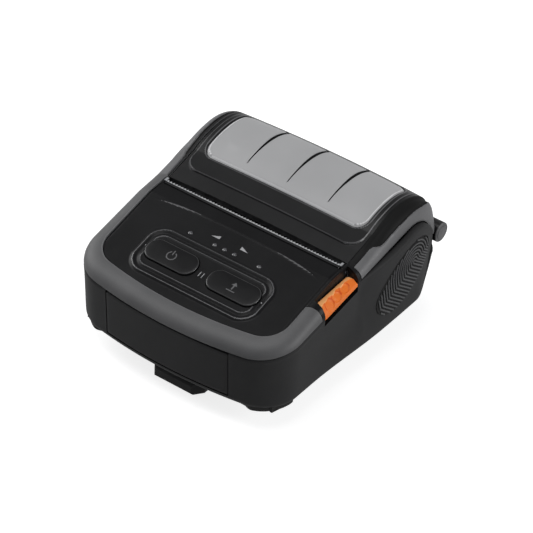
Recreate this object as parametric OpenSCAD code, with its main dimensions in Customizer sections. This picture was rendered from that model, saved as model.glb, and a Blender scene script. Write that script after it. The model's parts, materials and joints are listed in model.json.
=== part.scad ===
// Portable receipt printer. In the modules Y = 0 is the front wall; place() centres the whole.
/* [Body] */
// Width across the seam between the lower case and the bezel
body_w = 98; // [96:1:108]
// Length from the front wall to the rear wall
body_l = 111; // [110:1:118]
// Height of the seam above the case bottom, at the front wall
seam_h = 24.15; // [23:0.5:27]
// Plan radius of the front corners
corner_r = 17; // [14:1:20]
// Plan radius of the gently bowed front wall
front_bow_r = 206; // [160:2:260]
// Radius along the bottom edge
bottom_r = 3.5; // [2:0.5:5]
// Draft of the lower walls
draft = 1; // [0.5:0.25:1.5]
// Wall thickness of the mouldings
wall = 2; // [1.6:0.2:2.4]
// How far the side bulges stand out over the paper roll
ear_cap = 3.4; // [2:0.2:4.4]
// Radius of the side bulges
ear_r = 27; // [24:1:28]
/* [Panel and bezel] */
// Width of the control panel
panel_w = 85.2; // [83:0.5:86]
// Distance of the panel's front edge from the front wall
panel_front = 7.8; // [6:0.5:10]
// Distance of the crease across the panel from the front wall
crease_y = 45.8; // [43:0.5:48]
// Height of the crease above the case bottom
crease_h = 39.2; // [38.5:0.5:40.5]
// Slope of the panel, rise over run
panel_slope = 0.26; // [0.24:0.01:0.27]
// Width of one button
button_w = 23.2; // [20:0.4:25]
// Depth of one button
button_d = 10; // [8:0.5:11]
// Height of a button above the panel
button_h = 1.3; // [1:0.1:2]
// Distance between the centres of the two buttons
button_pitch = 29.2; // [27:0.2:31]
// Travel of a button
button_travel = 0.6; // [0.4:0.1:0.8]
// Diameter of an indicator lens
lens_d = 1.8; // [1.4:0.1:2.4]
/* [Lid] */
// Height of the top of the dome above the case bottom
dome_h = 49.3; // [48.5:0.5:52]
// Width of the black lid frame
frame_w = 85; // [84:0.5:87]
// Width of the clear window
window_w = 76; // [70:1:77]
// Plan radius of the window corners
window_r = 5; // [3:0.5:8]
// Height of the hinge axis above the case bottom
hinge_h = 26; // [25:0.5:27]
// Radius of the hinge barrel
barrel_r = 4.1; // [3.6:0.1:4.6]
/* [Mechanism] */
// Usable width of the paper
paper_w = 79; // [76:1:80]
// Diameter of the rubber platen roller
roller_d = 10; // [9:0.5:11]
// Diameter of the platen shaft
shaft_d = 4; // [3:0.5:4.5]
// Diameter of the bushings that drop into the frame
bushing_d = 7; // [6:0.5:8]
// Gear module
gear_module = 0.7; // [0.66:0.01:0.72]
// Distance of the paper compartment from the front wall
tray_y0 = 62.7; // [62.7:0.1:63.5]
// Number of teeth along the tear bar
tear_teeth = 60; // [40:1:80]
// Length of the tear bar
tear_w = 82; // [78:1:84]
/* [Belt clip and battery] */
// Drop from the case bottom to the underside of the belt clip
clip_drop = 10; // [8:0.5:12]
// Width of the belt clip
clip_w = 19; // [16:1:24]
// Thickness of the belt clip
clip_t = 3.2; // [2.6:0.2:3.6]
// Width of the battery pack's front
battery_w = 57.4; // [52:0.5:60]
// Length of the battery pack
battery_l = 38; // [34:1:39]
/* [Hidden] */
$fn = 48;
gap = 0.3;
run_gap = 0.05;
total_l = body_l + barrel_r - 1;
hw = body_w / 2;
zb = clip_drop;
seam_rise = 0.183;
seam_z0 = zb + seam_h;
seam_deg = atan(seam_rise);
slope_deg = atan(panel_slope);
panel_hw = panel_w / 2;
panel_t = 2.2;
tear_y = 54.5;
split_y = 56.6;
hinge_y = body_l - 1;
hinge_z = zb + hinge_h;
top_z = zb + dome_h;
top_y = hinge_y - 20;
ear_y = top_y - 6.5;
ear_z = zb + 27;
ear_ball_r = (ear_r * ear_r + ear_cap * ear_cap) / 2 / ear_cap;
ear_seam_r = 13.5;
ear_seam_z = seam_z0 + seam_rise * top_y - ear_seam_r / cos(seam_deg);
rear_corner_r = 9;
rear_bottom_r = 15.5;
rear_rim_z = hinge_z - barrel_r - 0.5;
tray_t = 1.2;
roll_r = (body_l - wall - gap - tray_y0) / 2 - tray_t;
roll_y = body_l - wall - gap - roll_r - tray_t;
roll_z = zb + wall + 0.5 + tray_t + roll_r;
tray_x = paper_w / 2 + 1.4;
plate_x = paper_w / 2 + 1.8;
plate_t = 1.2;
platen_y = tear_y + 8.2;
platen_z = zb + 33.2;
shaft_r = shaft_d / 2;
platen_teeth = 15;
idler_teeth = 20;
pinion_teeth = 10;
mesh_gap = 0.12;
idler_z = platen_z - gear_module * (platen_teeth + idler_teeth) / 2 - mesh_gap;
motor_reach = gear_module * (pinion_teeth + idler_teeth) / 2 + mesh_gap;
idler_phase = 90 + 180 / idler_teeth;
motor_deg = idler_phase + 7 * 360 / idler_teeth;
motor_y = platen_y + motor_reach * cos(motor_deg);
motor_z = idler_z + motor_reach * sin(motor_deg);
motor_r = 9;
gear_x = plate_x + plate_t + 0.6;
gear_w = 2;
head_y = platen_y - roller_d / 2 - run_gap;
pivot_y = head_y - 2.65;
pivot_z = zb + 24.5;
release_y0 = 34.8;
release_y1 = 54.8;
release_x = 44;
release_travel = 2;
lever_x0 = plate_x + plate_t + 0.4;
lever_x1 = lever_x0 + 0.9;
latch_y = 51.5;
latch_z = zb + 24;

// Heights shared by several pieces, over the distance y from the front wall
function panel_z(y) = zb + crease_h + (y - crease_y) * (y < crease_y ? panel_slope : 0.07);
function seam_z(y) = y < top_y - ear_seam_r * sin(seam_deg) ? seam_z0 + seam_rise * y
    : y < body_l - rear_corner_r - 0.01 ? ear_seam_z + sqrt(pow(ear_seam_r, 2) - pow(y - top_y, 2))
    : rear_rim_z;
function rear_y(z) = body_l - rear_bottom_r
    + sqrt(pow(rear_bottom_r, 2) - pow(min(rear_bottom_r, max(0, zb + rear_bottom_r - z)), 2));
function ear_x(y, z) = let (p2 = pow(y - ear_y, 2) + pow(z - ear_z, 2))
    p2 < ear_r * ear_r ? sqrt(ear_ball_r * ear_ball_r - p2) - ear_ball_r + ear_cap : 0;
function steps(n) = [for (i = [0:n]) i / n];
function reversed(list) = [for (i = [len(list) - 1:-1:0]) list[i]];
function mirrored(list) = [for (p = reversed(list)) [-p[0], p[1]]];

// U-shaped plan outline: right side from y_end, corner, bowed front, and the mirror image
function rim(half, front, r, bow, y_end, side_t) =
    let (cy = front + bow - sqrt(pow(bow - r, 2) - pow(half - r, 2)),
        lean = asin((half - r) / (bow - r)),
        side = [for (t = side_t) [half, y_end + (cy - y_end) * t]],
        corner = [for (i = [1:6]) let (a = i / 6 * (90 - lean))
            [half - r + r * cos(a), cy - r * sin(a)]],
        nose = [for (i = [2, 1]) let (a = lean * i / 3) [bow * sin(a), front + bow * (1 - cos(a))]],
        right = concat(side, corner, nose))
    concat(right, [[0, front]], mirrored(right));

// Solid through closed rings of equal length, each clockwise when seen from the last ring's side.
// Ends close to a hub point each, or across the wall where a ring runs out and back along one.
module loft(rings, hub = [], walled = false) {
    n = len(rings[0]);
    last = len(rings) - 1;
    c = n * (last + 1);
    e = last * n;
    ends = hub != []
        ? [for (i = [0:n - 1]) each [[(i + 1) % n, i, c], [e + i, e + (i + 1) % n, c + 1]]]
        : walled ? [for (i = [0:n / 2 - 2]) let (j = n - 1 - i)
            each [[i + 1, i, j], [i + 1, j, j - 1],
                [e + i, e + i + 1, e + j], [e + i + 1, e + j - 1, e + j]]]
        : [[for (i = [n - 1:-1:0]) i], [for (i = [0:n - 1]) e + i]];
    polyhedron(concat([for (r = rings) each r], hub), concat(ends,
        [for (k = [0:last - 1], i = [0:n - 1]) [k * n + i, k * n + (i + 1) % n, (k + 1) * n + (i + 1) % n]],
        [for (k = [0:last - 1], i = [0:n - 1]) [k * n + i, (k + 1) * n + (i + 1) % n, (k + 1) * n + i]]),
        convexity = 8);
}

// Working helpers: profiles in the side view are drawn as (y, z) and run along X
module place() translate([0, -total_l / 2, 0]) children();
module along_x() rotate([90, 0, 90]) children();
module xbar(x0, x1) translate([x0, 0, 0]) along_x() linear_extrude(x1 - x0) children();
module xcyl(x0, x1, y, z, r) translate([x0, y, z]) along_x() cylinder(r = r, h = x1 - x0);
module xprism(x0, x1, y, z, r) {
    xbar(x0, x1) polygon([for (a = [0:15:345]) [y, z] + r / cos(7.5) * [cos(a), sin(a)]]);
}
module xtube(x0, x1, y, z, r, bore) {
    difference() {
        xcyl(x0, x1, y, z, r);
        xcyl(x0 - 1, x1 + 1, y, z, bore);
    }
}
module block(x0, x1, y0, y1, z0, z1) translate([x0, y0, z0]) cube([x1 - x0, y1 - y0, z1 - z0]);
module both_sides() {
    children();
    mirror([1, 0, 0]) children();
}
module rounded(w, d, r) {
    square([w - 2 * r, d], center = true);
    square([w, d - 2 * r], center = true);
    for (x = [-1, 1], y = [-1, 1]) translate([x * (w / 2 - r), y * (d / 2 - r)]) circle(r);
}
module on_panel(y) translate([0, y, panel_z(y)]) rotate([slope_deg, 0, 0]) children();

// Lower case: a tub whose rim follows the seam, with round bulges over the paper roll
function case_ring(inset, zf) =
    let (r = rear_corner_r,
        front = rim(hw - inset, inset, corner_r - inset, front_bow_r - inset, body_l - r,
            [for (t = steps(15)) pow(t, 1.6)]),
        corner = [for (i = [1:4])
            [hw - r + (r - inset) * cos(22.5 * i), body_l - r + (r - inset) * sin(22.5 * i)]],
        plan = concat(front, [for (p = corner) [-p[0], p[1]]], [[0, body_l - inset]], reversed(corner)))
    [for (p = plan) let (z = zf(p[1]), squash = (rear_y(z) - 60) / (body_l - 60),
        y = p[1] < 60 ? p[1] : 60 + (p[1] - 60) * squash,
        share = max(0, abs(p[0]) - hw + r) / r)
        [p[0] + sign(p[0]) * share * ear_x(y, z), y, z]];
module case_tub() {
    low = zb + bottom_r;
    loft(concat(
        [for (a = [0, 30, 60, 90])
            case_ring(draft + bottom_r * (1 - sin(a)), function (y) zb + bottom_r * (1 - cos(a)))],
        [for (t = [0.22, 0.45, 0.7]) case_ring(draft * (1 - t), function (y) low + (seam_z(y) - low) * t)],
        [case_ring(0, function (y) seam_z(y) - 1.2)],
        [case_ring(0.8, function (y) seam_z(y))],
        [case_ring(wall, function (y) seam_z(y))],
        [case_ring(wall, function (y) seam_z(y) - 1.2)],
        [case_ring(wall + draft / 2, function (y) (low + seam_z(y)) / 2)],
        [case_ring(wall + draft, function (y) low + 2)],
        [case_ring(wall + draft + 2, function (y) zb + wall)]), [[0, 50, zb], [0, 50, zb + wall]]);
}
case_screw_at = [[36.5, 15.6], [38, 57]];
clip_screw_at = [[0, 84], [0, 96]];
screw_r = 1.3;
pin_r = 1.5;
lug_x0 = 41.2;
lug_x1 = 45.4;
module hinge_lug() {
    difference() {
        union() {
            xcyl(lug_x0, lug_x1, hinge_y, hinge_z, barrel_r);
            block(lug_x0, lug_x1, hinge_y - barrel_r, hinge_y + 0.6, rear_rim_z - 4, hinge_z);
        }
        xcyl(lug_x0 - 1, lug_x1 + 1, hinge_y, hinge_z, pin_r);
    }
}
module release_pocket() {
    y0 = release_y0 - gap;
    y1 = release_y1 + gap;
    low = -release_travel - 1.6;
    xbar(hw - 4, hw + 2) polygon([for (p = [[y0, 9], [y0, low], [y1, low], [y1, 9]])
        [p[0], seam_z(p[0]) + p[1]]]);
}
port_y = 27;
port_z = zb + 13;
port_w = 26;
port_h = 11;
cover_t = 1.1;
port_x = -hw + draft / 2 + cover_t;
jack_y = port_y - 6;
usb_y = port_y + 6;
module port_pocket() {
    y0 = port_y - port_w / 2;
    block(-hw - 2, port_x, y0, y0 + port_w, port_z - port_h / 2, port_z + port_h / 2);
    xcyl(-hw - 2, -hw + 8, jack_y, port_z, 3.5 + gap);
    block(-hw - 2, -hw + 8, usb_y - 4 - gap, usb_y + 4 + gap, port_z - 1.6 - gap, port_z + 1.6 + gap);
}
spring_y = 50;
spring_x = hw - 3.3;
spring_z = zb + 29.1;
spring_l = 3;
grip_y = ear_y - 1.2;
grip_z = ear_z - 4.6;
grip_a = 15.6;
grip_b = 13.4;
grip_sink = 0.7;
module grip_zone(depth, proud) {
    intersection() {
        translate([hw - 4, grip_y, grip_z]) along_x() linear_extrude(12) children();
        translate([hw + ear_cap - ear_ball_r, ear_y, ear_z]) difference() {
            sphere(ear_ball_r + proud);
            sphere(ear_ball_r - depth);
        }
    }
}
module grip_oval(inset) polygon([for (a = [0:15:345])
    [(grip_a - inset) * cos(a), (grip_b - inset) * sin(a)]]);
module lower_case() {
    color([0.14, 0.14, 0.15]) place() difference() {
        union() {
            case_tub();
            both_sides() translate([case_screw_at[0][0], case_screw_at[0][1], zb + 1])
                cylinder(r = 3.4, h = 7);
            both_sides() hinge_lug();
            block(lever_x1 + 0.3, hw - wall + 0.5, spring_y - 2.6, release_y1, spring_z - 2, spring_z);
        }
        block(-battery_w / 2 - gap, battery_w / 2 + gap, -5, wall + draft + 6,
            zb + bottom_r - gap, zb + 50);
        release_pocket();
        port_pocket();
        for (p = case_screw_at) both_sides() translate([p[0], p[1], zb - 1]) {
            cylinder(r = screw_r, h = 12);
            cylinder(r = 2.8, h = 2.1);
        }
        for (p = clip_screw_at) translate([p[0], p[1], zb - 1]) cylinder(r = screw_r, h = 6);
        both_sides() grip_zone(grip_sink, 9) grip_oval(0);
    }
}

// Side grips: soft pads let into the bulges, with nested V ribs along a tilted spine
grip_pitch = 1.3;
spine_deg = 40;
spine_shift = 1.4;
arm_deg = 60;
module side_grips() {
    color([0.3, 0.3, 0.31]) place() both_sides() {
        grip_zone(grip_sink, -0.3) grip_oval(0.15);
        grip_zone(grip_sink, 0.2) intersection() {
            grip_oval(0.4);
            rotate(spine_deg) for (i = [-13:10]) translate([i * grip_pitch, spine_shift]) polygon([
                for (q = [[0, 1], [0, 0], [0, -1], [0.7, -1], [0.7, 0], [0.7, 1]])
                    [q[0] + abs(q[1]) * 18 / tan(arm_deg), q[1] * 18]]);
        }
    }
}
foot_t = 1.4;
module corner_feet() {
    color([0.05, 0.05, 0.05]) place() both_sides() intersection() {
        translate([0, 0, zb - foot_t]) linear_extrude(foot_t) difference() {
            polygon(rim(hw - 5, 5, corner_r - 5, front_bow_r - 5, 50, [0, 1]));
            polygon(rim(hw - 9.5, 9.5, corner_r - 9.5, front_bow_r - 9.5, 60, [0, 1]));
        }
        block(25, hw, -1, 20, zb - 3, zb + 3);
    }
}

// Bezel: a quarter-round band from the seam up to the panel, open at the lid
bow_panel_r = front_bow_r - panel_front;
panel_r = 10.5;
side_t = steps(10);
band_out = rim(hw, 0, corner_r, front_bow_r, split_y, side_t);
band_in = rim(panel_hw, panel_front, panel_r, bow_panel_r, split_y, side_t);
function band_point(o, i, a, inset) =
    let (f = 1 - cos(a), h = panel_z(i[1]) - seam_z(o[1]),
        reach = norm(i - o), grow = 1 - inset / reach)
    [o[0] + (i[0] - o[0]) * (inset / reach + f * grow), o[1] + (i[1] - o[1]) * (inset / reach + f * grow),
        seam_z(o[1]) + (h - inset) * sin(a)];
module top_bezel() {
    arc = [0, 18, 36, 54, 72, 90];
    color([0.36, 0.36, 0.37]) place() difference() {
        loft([for (k = [0:len(band_out) - 1]) concat(
            [for (a = arc) band_point(band_out[k], band_in[k], a, wall) + [0, 0, gap]],
            [for (a = reversed(arc)) band_point(band_out[k], band_in[k], a, 0) + [0, 0, gap]])],
            walled = true);
        block(panel_hw + 1, hw + 2, release_y0 - gap, release_y1 + gap, 0, 100);
    }
}

// Control panel: a sloped plate with a crease, a raised island and its holes
island_y = 23.5;
button_y = 23.9;
led_y = 37;
led_x = [-16.2, -4.6, 0, 4.6, 16.2];
island_w = 59.5;
island_d = 23.4;
panel_end = tear_y - 2.2;
board_drop = 6.4;
board_t = 1.2;
module control_panel() {
    color([0.12, 0.12, 0.13]) place() difference() {
        union() {
            intersection() {
                xbar(-panel_hw, panel_hw) polygon([[0, panel_z(0)], [crease_y, panel_z(crease_y)],
                    [panel_end, panel_z(panel_end)], [panel_end, panel_z(panel_end) - panel_t],
                    [crease_y, panel_z(crease_y) - panel_t], [0, panel_z(0) - panel_t]]);
                translate([0, 0, zb]) linear_extrude(60) polygon(rim(panel_hw - gap, panel_front + gap,
                    panel_r - gap, bow_panel_r, panel_end, [0, 1]));
            }
            on_panel(island_y) translate([0, 0, -1]) linear_extrude(1.6) rounded(island_w, island_d, 8);
            both_sides() on_panel(button_y) translate([31, -7.5, board_t - board_drop])
                cylinder(r = 2.2, h = board_drop - board_t - 1);
            both_sides() translate([case_screw_at[0][0], case_screw_at[0][1], zb + 8])
                cylinder(r = 3, h = panel_z(case_screw_at[0][1]) - zb - 9);
        }
        on_panel(island_y) linear_extrude(3) difference() {
            rounded(island_w - 1.6, island_d - 1.6, 7.2);
            rounded(island_w - 4.4, island_d - 4.4, 5.8);
        }
        on_panel(island_y) translate([0, 0, 0.35]) linear_extrude(3) rounded(island_w - 6, island_d - 6, 5);
        for (x = [-1, 1]) on_panel(button_y) translate([x * button_pitch / 2, 0, -5]) linear_extrude(9)
            rounded(button_w + 2 * gap, button_d + 2 * gap, button_d / 2 - 0.4 + gap);
        for (x = led_x) on_panel(led_y) translate([x, 0, -5]) cylinder(d = lens_d + 0.1, h = 9);
        both_sides() translate([case_screw_at[0][0], case_screw_at[0][1], zb])
            cylinder(r = screw_r, h = 16);
    }
}
module indicator_lenses() {
    color([0.62, 0.63, 0.65]) place() for (x = led_x) on_panel(led_y) translate([x, 0, -panel_t]) {
        cylinder(d = lens_d, h = panel_t + 0.2);
        translate([0, 0, -1]) cylinder(d = lens_d + 1, h = 1);
    }
}
stem_end = -panel_t - 0.8;
module push_button(side) {
    place() on_panel(button_y) translate([side * button_pitch / 2, 0, 0]) {
        translate([0, 0, -panel_t + 0.2]) linear_extrude(panel_t + button_h - 0.6)
            rounded(button_w, button_d, button_d / 2 - 0.4);
        translate([0, 0, button_h - 0.5]) linear_extrude(0.5)
            rounded(button_w - 0.8, button_d - 0.8, button_d / 2 - 0.8);
        translate([0, 0, stem_end]) cylinder(d = 3.4, h = 2);
    }
}
module power_button() color([0.16, 0.16, 0.17]) push_button(-1);
module feed_button() color([0.16, 0.16, 0.17]) push_button(1);
module panel_board() {
    color([0.1, 0.35, 0.2]) place() on_panel(button_y) translate([0, 3, -board_drop]) {
        difference() {
            translate([0, 0, board_t / 2]) cube([66, 27, board_t], center = true);
            both_sides() translate([31, -10.5, -1]) cylinder(r = 1.2, h = 4);
        }
        for (x = [-1, 1]) translate([x * button_pitch / 2, -3, board_t]) {
            translate([-3, -3, 0]) cube([6, 6, 1.4]);
            cylinder(d = 3, h = board_drop - board_t + stem_end - button_travel - 0.1);
        }
        for (x = led_x) translate([x - 0.8, (led_y - button_y) / cos(slope_deg) - 3.8, board_t])
            cube([1.6, 1.6, 1]);
    }
}

// Tear bar: a toothed strip on the panel's rear edge, with a folded mounting flange
module tear_bar() {
    pitch = tear_w / tear_teeth;
    z = panel_z(panel_end);
    color([0.78, 0.78, 0.8]) place() {
        translate([0, 0, z - 0.1]) linear_extrude(0.5) polygon(concat([[-tear_w / 2, panel_end + gap / 3]],
            [for (i = [0:tear_teeth - 1]) each [[-tear_w / 2 + pitch * i, tear_y - 0.9],
                [-tear_w / 2 + pitch * (i + 0.5), tear_y]]],
            [[tear_w / 2, tear_y - 0.9], [tear_w / 2, panel_end + gap / 3]]));
        block(-tear_w / 2, tear_w / 2, panel_end + gap / 3, panel_end + gap / 3 + 0.5, z - 4, z);
    }
}

// Printing mechanism: frame, drive, head and paper compartment
module mechanism_frame() {
    floor_z = zb + wall;
    color([0.62, 0.63, 0.65]) place() {
        for (side = [-1, 1]) difference() {
            translate([side * (plate_x + plate_t / 2), 0, 0]) xbar(-plate_t / 2, plate_t / 2)
                polygon([[47.5, floor_z], [69.5, floor_z], [69.5, zb + 35], [68.5, zb + 36.9],
                    [47.5, zb + 36.9]]);
            xbar(-50, 50) {
                translate([platen_y, platen_z]) circle(bushing_d / 2 + 0.2);
                polygon([for (q = [[-1, 0, 0], [1, 0, 0], [1, 1.4, 8], [-1, 0, 8]])
                    [platen_y + q[0] * (bushing_d / 2 + 0.2) + q[1], platen_z + q[2]]]);
            }
            xcyl(-50, 50, pivot_y, pivot_z, 1);
            if (side < 0) {
                xcyl(-50, 0, platen_y, idler_z, 1.5);
                xcyl(-50, 0, motor_y, motor_z, 1.6);
            }
            if (side > 0) xcyl(0, 50, latch_y, latch_z, 1.2);
        }
        block(-plate_x, plate_x, 48, 49.5, zb + 23, zb + 36);
        difference() {
            block(-plate_x, plate_x, 47.5, 62, floor_z, floor_z + 1.2);
            both_sides() translate([case_screw_at[1][0], case_screw_at[1][1], 0])
                cylinder(r = screw_r, h = 40);
        }
    }
}
module stepper_motor() {
    color([0.7, 0.7, 0.72]) place() difference() {
        union() {
            xcyl(-plate_x, -plate_x + 15, motor_y, motor_z, motor_r);
            xcyl(-plate_x + 15, -plate_x + 16, motor_y, motor_z, motor_r - 2);
            block(-plate_x + 5, -plate_x + 14, motor_y - motor_r - 2, motor_y, motor_z - 3, motor_z + 3);
        }
        xcyl(-plate_x - 1, -plate_x + 2.6, motor_y, motor_z, 1 + run_gap);
    }
}
module gear_profile(teeth, phase, bore) {
    pr = gear_module * teeth / 2;
    step = 360 / teeth;
    difference() {
        polygon([for (i = [0:teeth - 1], k = [[-0.29, -0.62], [-0.21, 0], [-0.1, 0.8], [0.1, 0.8], [0.21, 0],
            [0.29, -0.62]]) let (a = phase + step * (i + k[0]), r = pr + gear_module * k[1])
                [r * cos(a), r * sin(a)]]);
        circle(bore);
    }
}
module gear(teeth, phase, bore, y, z) {
    translate([-gear_x - gear_w, y, z]) along_x() linear_extrude(gear_w) gear_profile(teeth, phase, bore);
}
module platen_gear() color([0.85, 0.84, 0.8]) place() gear(platen_teeth, -90, shaft_r, platen_y, platen_z);
module idler_gear() {
    color([0.85, 0.84, 0.8]) place() gear(idler_teeth, idler_phase, 1.5 + run_gap, platen_y, idler_z);
}
module motor_pinion() {
    color([0.78, 0.7, 0.45]) place() {
        gear(pinion_teeth, motor_deg - 180 + 180 / pinion_teeth, 0.6, motor_y, motor_z);
        xcyl(-gear_x - gear_w, -plate_x + 2.4, motor_y, motor_z, 1);
    }
}
module idler_stud() {
    color([0.7, 0.7, 0.72]) place() {
        xcyl(-gear_x - gear_w - 0.1, -plate_x, platen_y, idler_z, 1.5);
        xcyl(-gear_x - gear_w - 0.6, -gear_x - gear_w - 0.1, platen_y, idler_z, 2.4);
    }
}
module print_head() {
    color([0.9, 0.9, 0.88]) place() {
        block(-paper_w / 2 - 1.4, paper_w / 2 + 1.4, head_y - 1, head_y, zb + 27, zb + 36.8);
        block(-12, 12, head_y - 1, head_y + 2.4, zb + 25.6, zb + 27);
    }
}
module heat_sink() {
    x1 = paper_w / 2 + 1.4;
    color([0.45, 0.46, 0.48]) place() xbar(-x1, x1) difference() {
        union() {
            translate([pivot_y, pivot_z]) circle(1.9);
            polygon([[pivot_y - 1.5, pivot_z], [head_y - 1, pivot_z], [head_y - 1, zb + 36.3],
                [head_y - 4.15, zb + 36.3], [head_y - 4.15, zb + 27]]);
        }
        translate([pivot_y, pivot_z]) circle(1 + run_gap);
    }
}
module head_pivot_pin() {
    x1 = plate_x + plate_t;
    color([0.75, 0.75, 0.77]) place() xcyl(-x1, x1, pivot_y, pivot_z, 1);
}
module coil(r, wire, h, turns) {
    rotate_extrude() polygon(concat([[r - wire, 0]],
        [for (i = [0:turns - 1]) each [[r, h * i / turns], [r, h * (i + 0.6) / turns],
            [r - wire * 0.6, h * (i + 0.8) / turns]]], [[r, h], [r - wire, h]]));
}
module head_springs() {
    color([0.8, 0.8, 0.82]) place() both_sides() translate([20, 49.5, zb + 32]) rotate([-90, 0, 0])
        coil(2.2, 0.8, head_y - 4.15 - 49.5 - 0.17, 5);
}
module paper_sensor() {
    color([0.07, 0.07, 0.08]) place() block(6, 14, 59.8, roll_y - roll_r - tray_t - 0.1, zb + 20, zb + 25);
}
module roll_tray() {
    color([0.1, 0.1, 0.11]) place() difference() {
        intersection() {
            xcyl(-tray_x, tray_x, roll_y, roll_z, roll_r + tray_t);
            block(-50, 50, 0, body_l, 0, roll_z + 0.5);
        }
        xcyl(-tray_x + tray_t, tray_x - tray_t, roll_y, roll_z, roll_r);
        xcyl(-50, 50, hinge_y, hinge_z, barrel_r + 0.9);
        both_sides() block(tray_x - 3, tray_x + 1, hinge_y - barrel_r - 1.6, body_l,
            rear_rim_z - 6, hinge_z);
        block(8, 12, roll_y - roll_r - tray_t - 1, roll_y - roll_r + 1, zb + 21, zb + 24);
    }
}

// Battery, electronics, clip, screws and ports
battery_z1 = seam_z0 - gap;
module battery_pack() {
    z0 = zb + bottom_r;
    h = battery_z1 - z0;
    c = front_bow_r;
    color([0.14, 0.14, 0.15]) place() difference() {
        intersection() {
            translate([0, 0, z0]) linear_extrude(h) {
                translate([-battery_w / 2, -1]) square([battery_w, battery_l + 0.2]);
                translate([-battery_w / 2 + 0.8, battery_l - 0.9]) square([battery_w - 1.6, 0.9]);
            }
            translate([0, c, z0]) cylinder(r1 = c - draft, r2 = c, h = h, $fn = 200);
        }
        for (x = [-9, -3, 3, 9]) translate([x - 1.4, battery_l - 0.8, z0 + 6]) cube([2.8, 3, 8]);
    }
}
module battery_contacts() {
    color([0.85, 0.7, 0.35]) place() for (x = [-9, -3, 3, 9])
        block(x - 1, x + 1, battery_l + 0.1, board_y, zb + bottom_r + 8, zb + bottom_r + 12);
}
board_y = 40;
module main_board() {
    color([0.1, 0.35, 0.2]) place() {
        block(-28, 40, board_y, board_y + 1.2, zb + wall, zb + 26);
        block(-12, 2, board_y + 1.2, board_y + 2.6, zb + 9, zb + 21);
        block(12, 22, board_y + 1.2, board_y + 2.4, zb + 10, zb + 18);
        block(26, 38, board_y + 1.2, board_y + 5, zb + 5, zb + 9);
    }
}
module belt_clip() {
    hw2 = clip_w / 2;
    color([0.06, 0.06, 0.065]) place() difference() {
        intersection() {
            xbar(-hw2, hw2) polygon([[8.6, 0], [103, 0], [103, zb], [78, zb], [75, clip_t], [14, clip_t],
                [12, clip_t + 1.6], [8.6, clip_t + 1.6], [8, clip_t + 0.8], [8, 0.6]]);
            linear_extrude(zb) polygon([[-hw2, 11], [-hw2 + 3, 8], [hw2 - 3, 8], [hw2, 11], [hw2, 101],
                [hw2 - 2, 103], [2 - hw2, 103], [-hw2, 101]]);
        }
        for (p = clip_screw_at) translate([p[0], p[1], -1]) {
            cylinder(r = screw_r, h = zb + 2);
            cylinder(r = 2.8, h = 3.6);
        }
    }
}
module screw(head_z, head_h, tip_z) {
    translate([0, 0, head_z]) difference() {
        cylinder(r = 2.5, h = head_h);
        for (a = [0, 90]) rotate(a) translate([-1.3, -0.3, -1]) cube([2.6, 0.6, 1.5]);
    }
    translate([0, 0, head_z + head_h - 0.1]) cylinder(r = screw_r, h = tip_z - head_z - head_h + 0.1);
}
module clip_screws() {
    color([0.55, 0.55, 0.57]) place() for (p = clip_screw_at) translate([p[0], p[1], 0])
        screw(0.8, 1.8, zb + wall + 0.3);
}
module case_screws() {
    color([0.55, 0.55, 0.57]) place() for (p = case_screw_at) both_sides() translate([p[0], p[1], 0])
        screw(zb + 0.1, 1, p[1] < 40 ? zb + 13 : zb + wall + 1.9);
}
module port_cover() {
    y0 = port_y - port_w / 2 + gap;
    x0 = port_x - cover_t - 0.05;
    z0 = port_z - port_h / 2 + gap;
    color([0.08, 0.08, 0.085]) place() {
        block(x0, port_x - 0.05, y0, y0 + port_w - 2 * gap, z0, z0 + port_h - 2 * gap);
        block(x0 - 0.5, x0, y0 + 8, y0 + port_w - 8.6, z0 + port_h - 2.4, z0 + port_h - 1.4);
        translate([x0 + 0.25, y0, z0 + 0.3]) rotate([-90, 0, 0]) cylinder(r = 0.45, h = port_w - 2 * gap);
    }
}
module dc_jack() {
    x0 = port_x + 0.3;
    color([0.05, 0.05, 0.05]) place() {
        xtube(x0, x0 + 7, jack_y, port_z, 3.5, 2.7);
        xcyl(x0 + 6, x0 + 8, jack_y, port_z, 3.5);
        xcyl(x0 + 0.5, x0 + 6.5, jack_y, port_z, 0.8);
    }
}
module usb_socket() {
    x0 = port_x + 0.3;
    color([0.7, 0.7, 0.72]) place() {
        difference() {
            block(x0, x0 + 6, usb_y - 4, usb_y + 4, port_z - 1.6, port_z + 1.6);
            block(x0 - 1, x0 + 5, usb_y - 3.6, usb_y + 3.6, port_z - 1.2, port_z + 1.2);
        }
        block(x0 + 0.8, x0 + 5.5, usb_y - 2.8, usb_y + 2.8, port_z - 0.4, port_z + 0.4);
    }
}

// Lid: a domed black frame with a clear window, two grey cheeks and the platen assembly
lid_t = 2.2;
lid_y0 = split_y + 0.5;
lid_z0 = panel_z(split_y) + 0.45;
dome_r = [39, 24, 11];
dome_deg = [-27.5, 38, 80];
crown = 1;
frame_hw = frame_w / 2;
dome_c = top_z - dome_r[0];
knee = [top_y + dome_r[0] * sin(dome_deg[0]), dome_c + dome_r[0] * cos(dome_deg[0])];
c2 = [top_y, top_z - dome_r[1]];
c3 = c2 + (dome_r[1] - dome_r[2]) * [sin(dome_deg[1]), cos(dome_deg[1])];
tail_p = c3 + dome_r[2] * [sin(dome_deg[2]), cos(dome_deg[2])];
tail_l = (tail_p[1] - hinge_z - 3) / sin(dome_deg[2]);
function dome_arc(c, r, a0, a1, n) = [for (i = [1:n]) let (a = a0 + (a1 - a0) * i / n)
    [c[0] + r * sin(a), c[1] + r * cos(a), a]];
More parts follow.
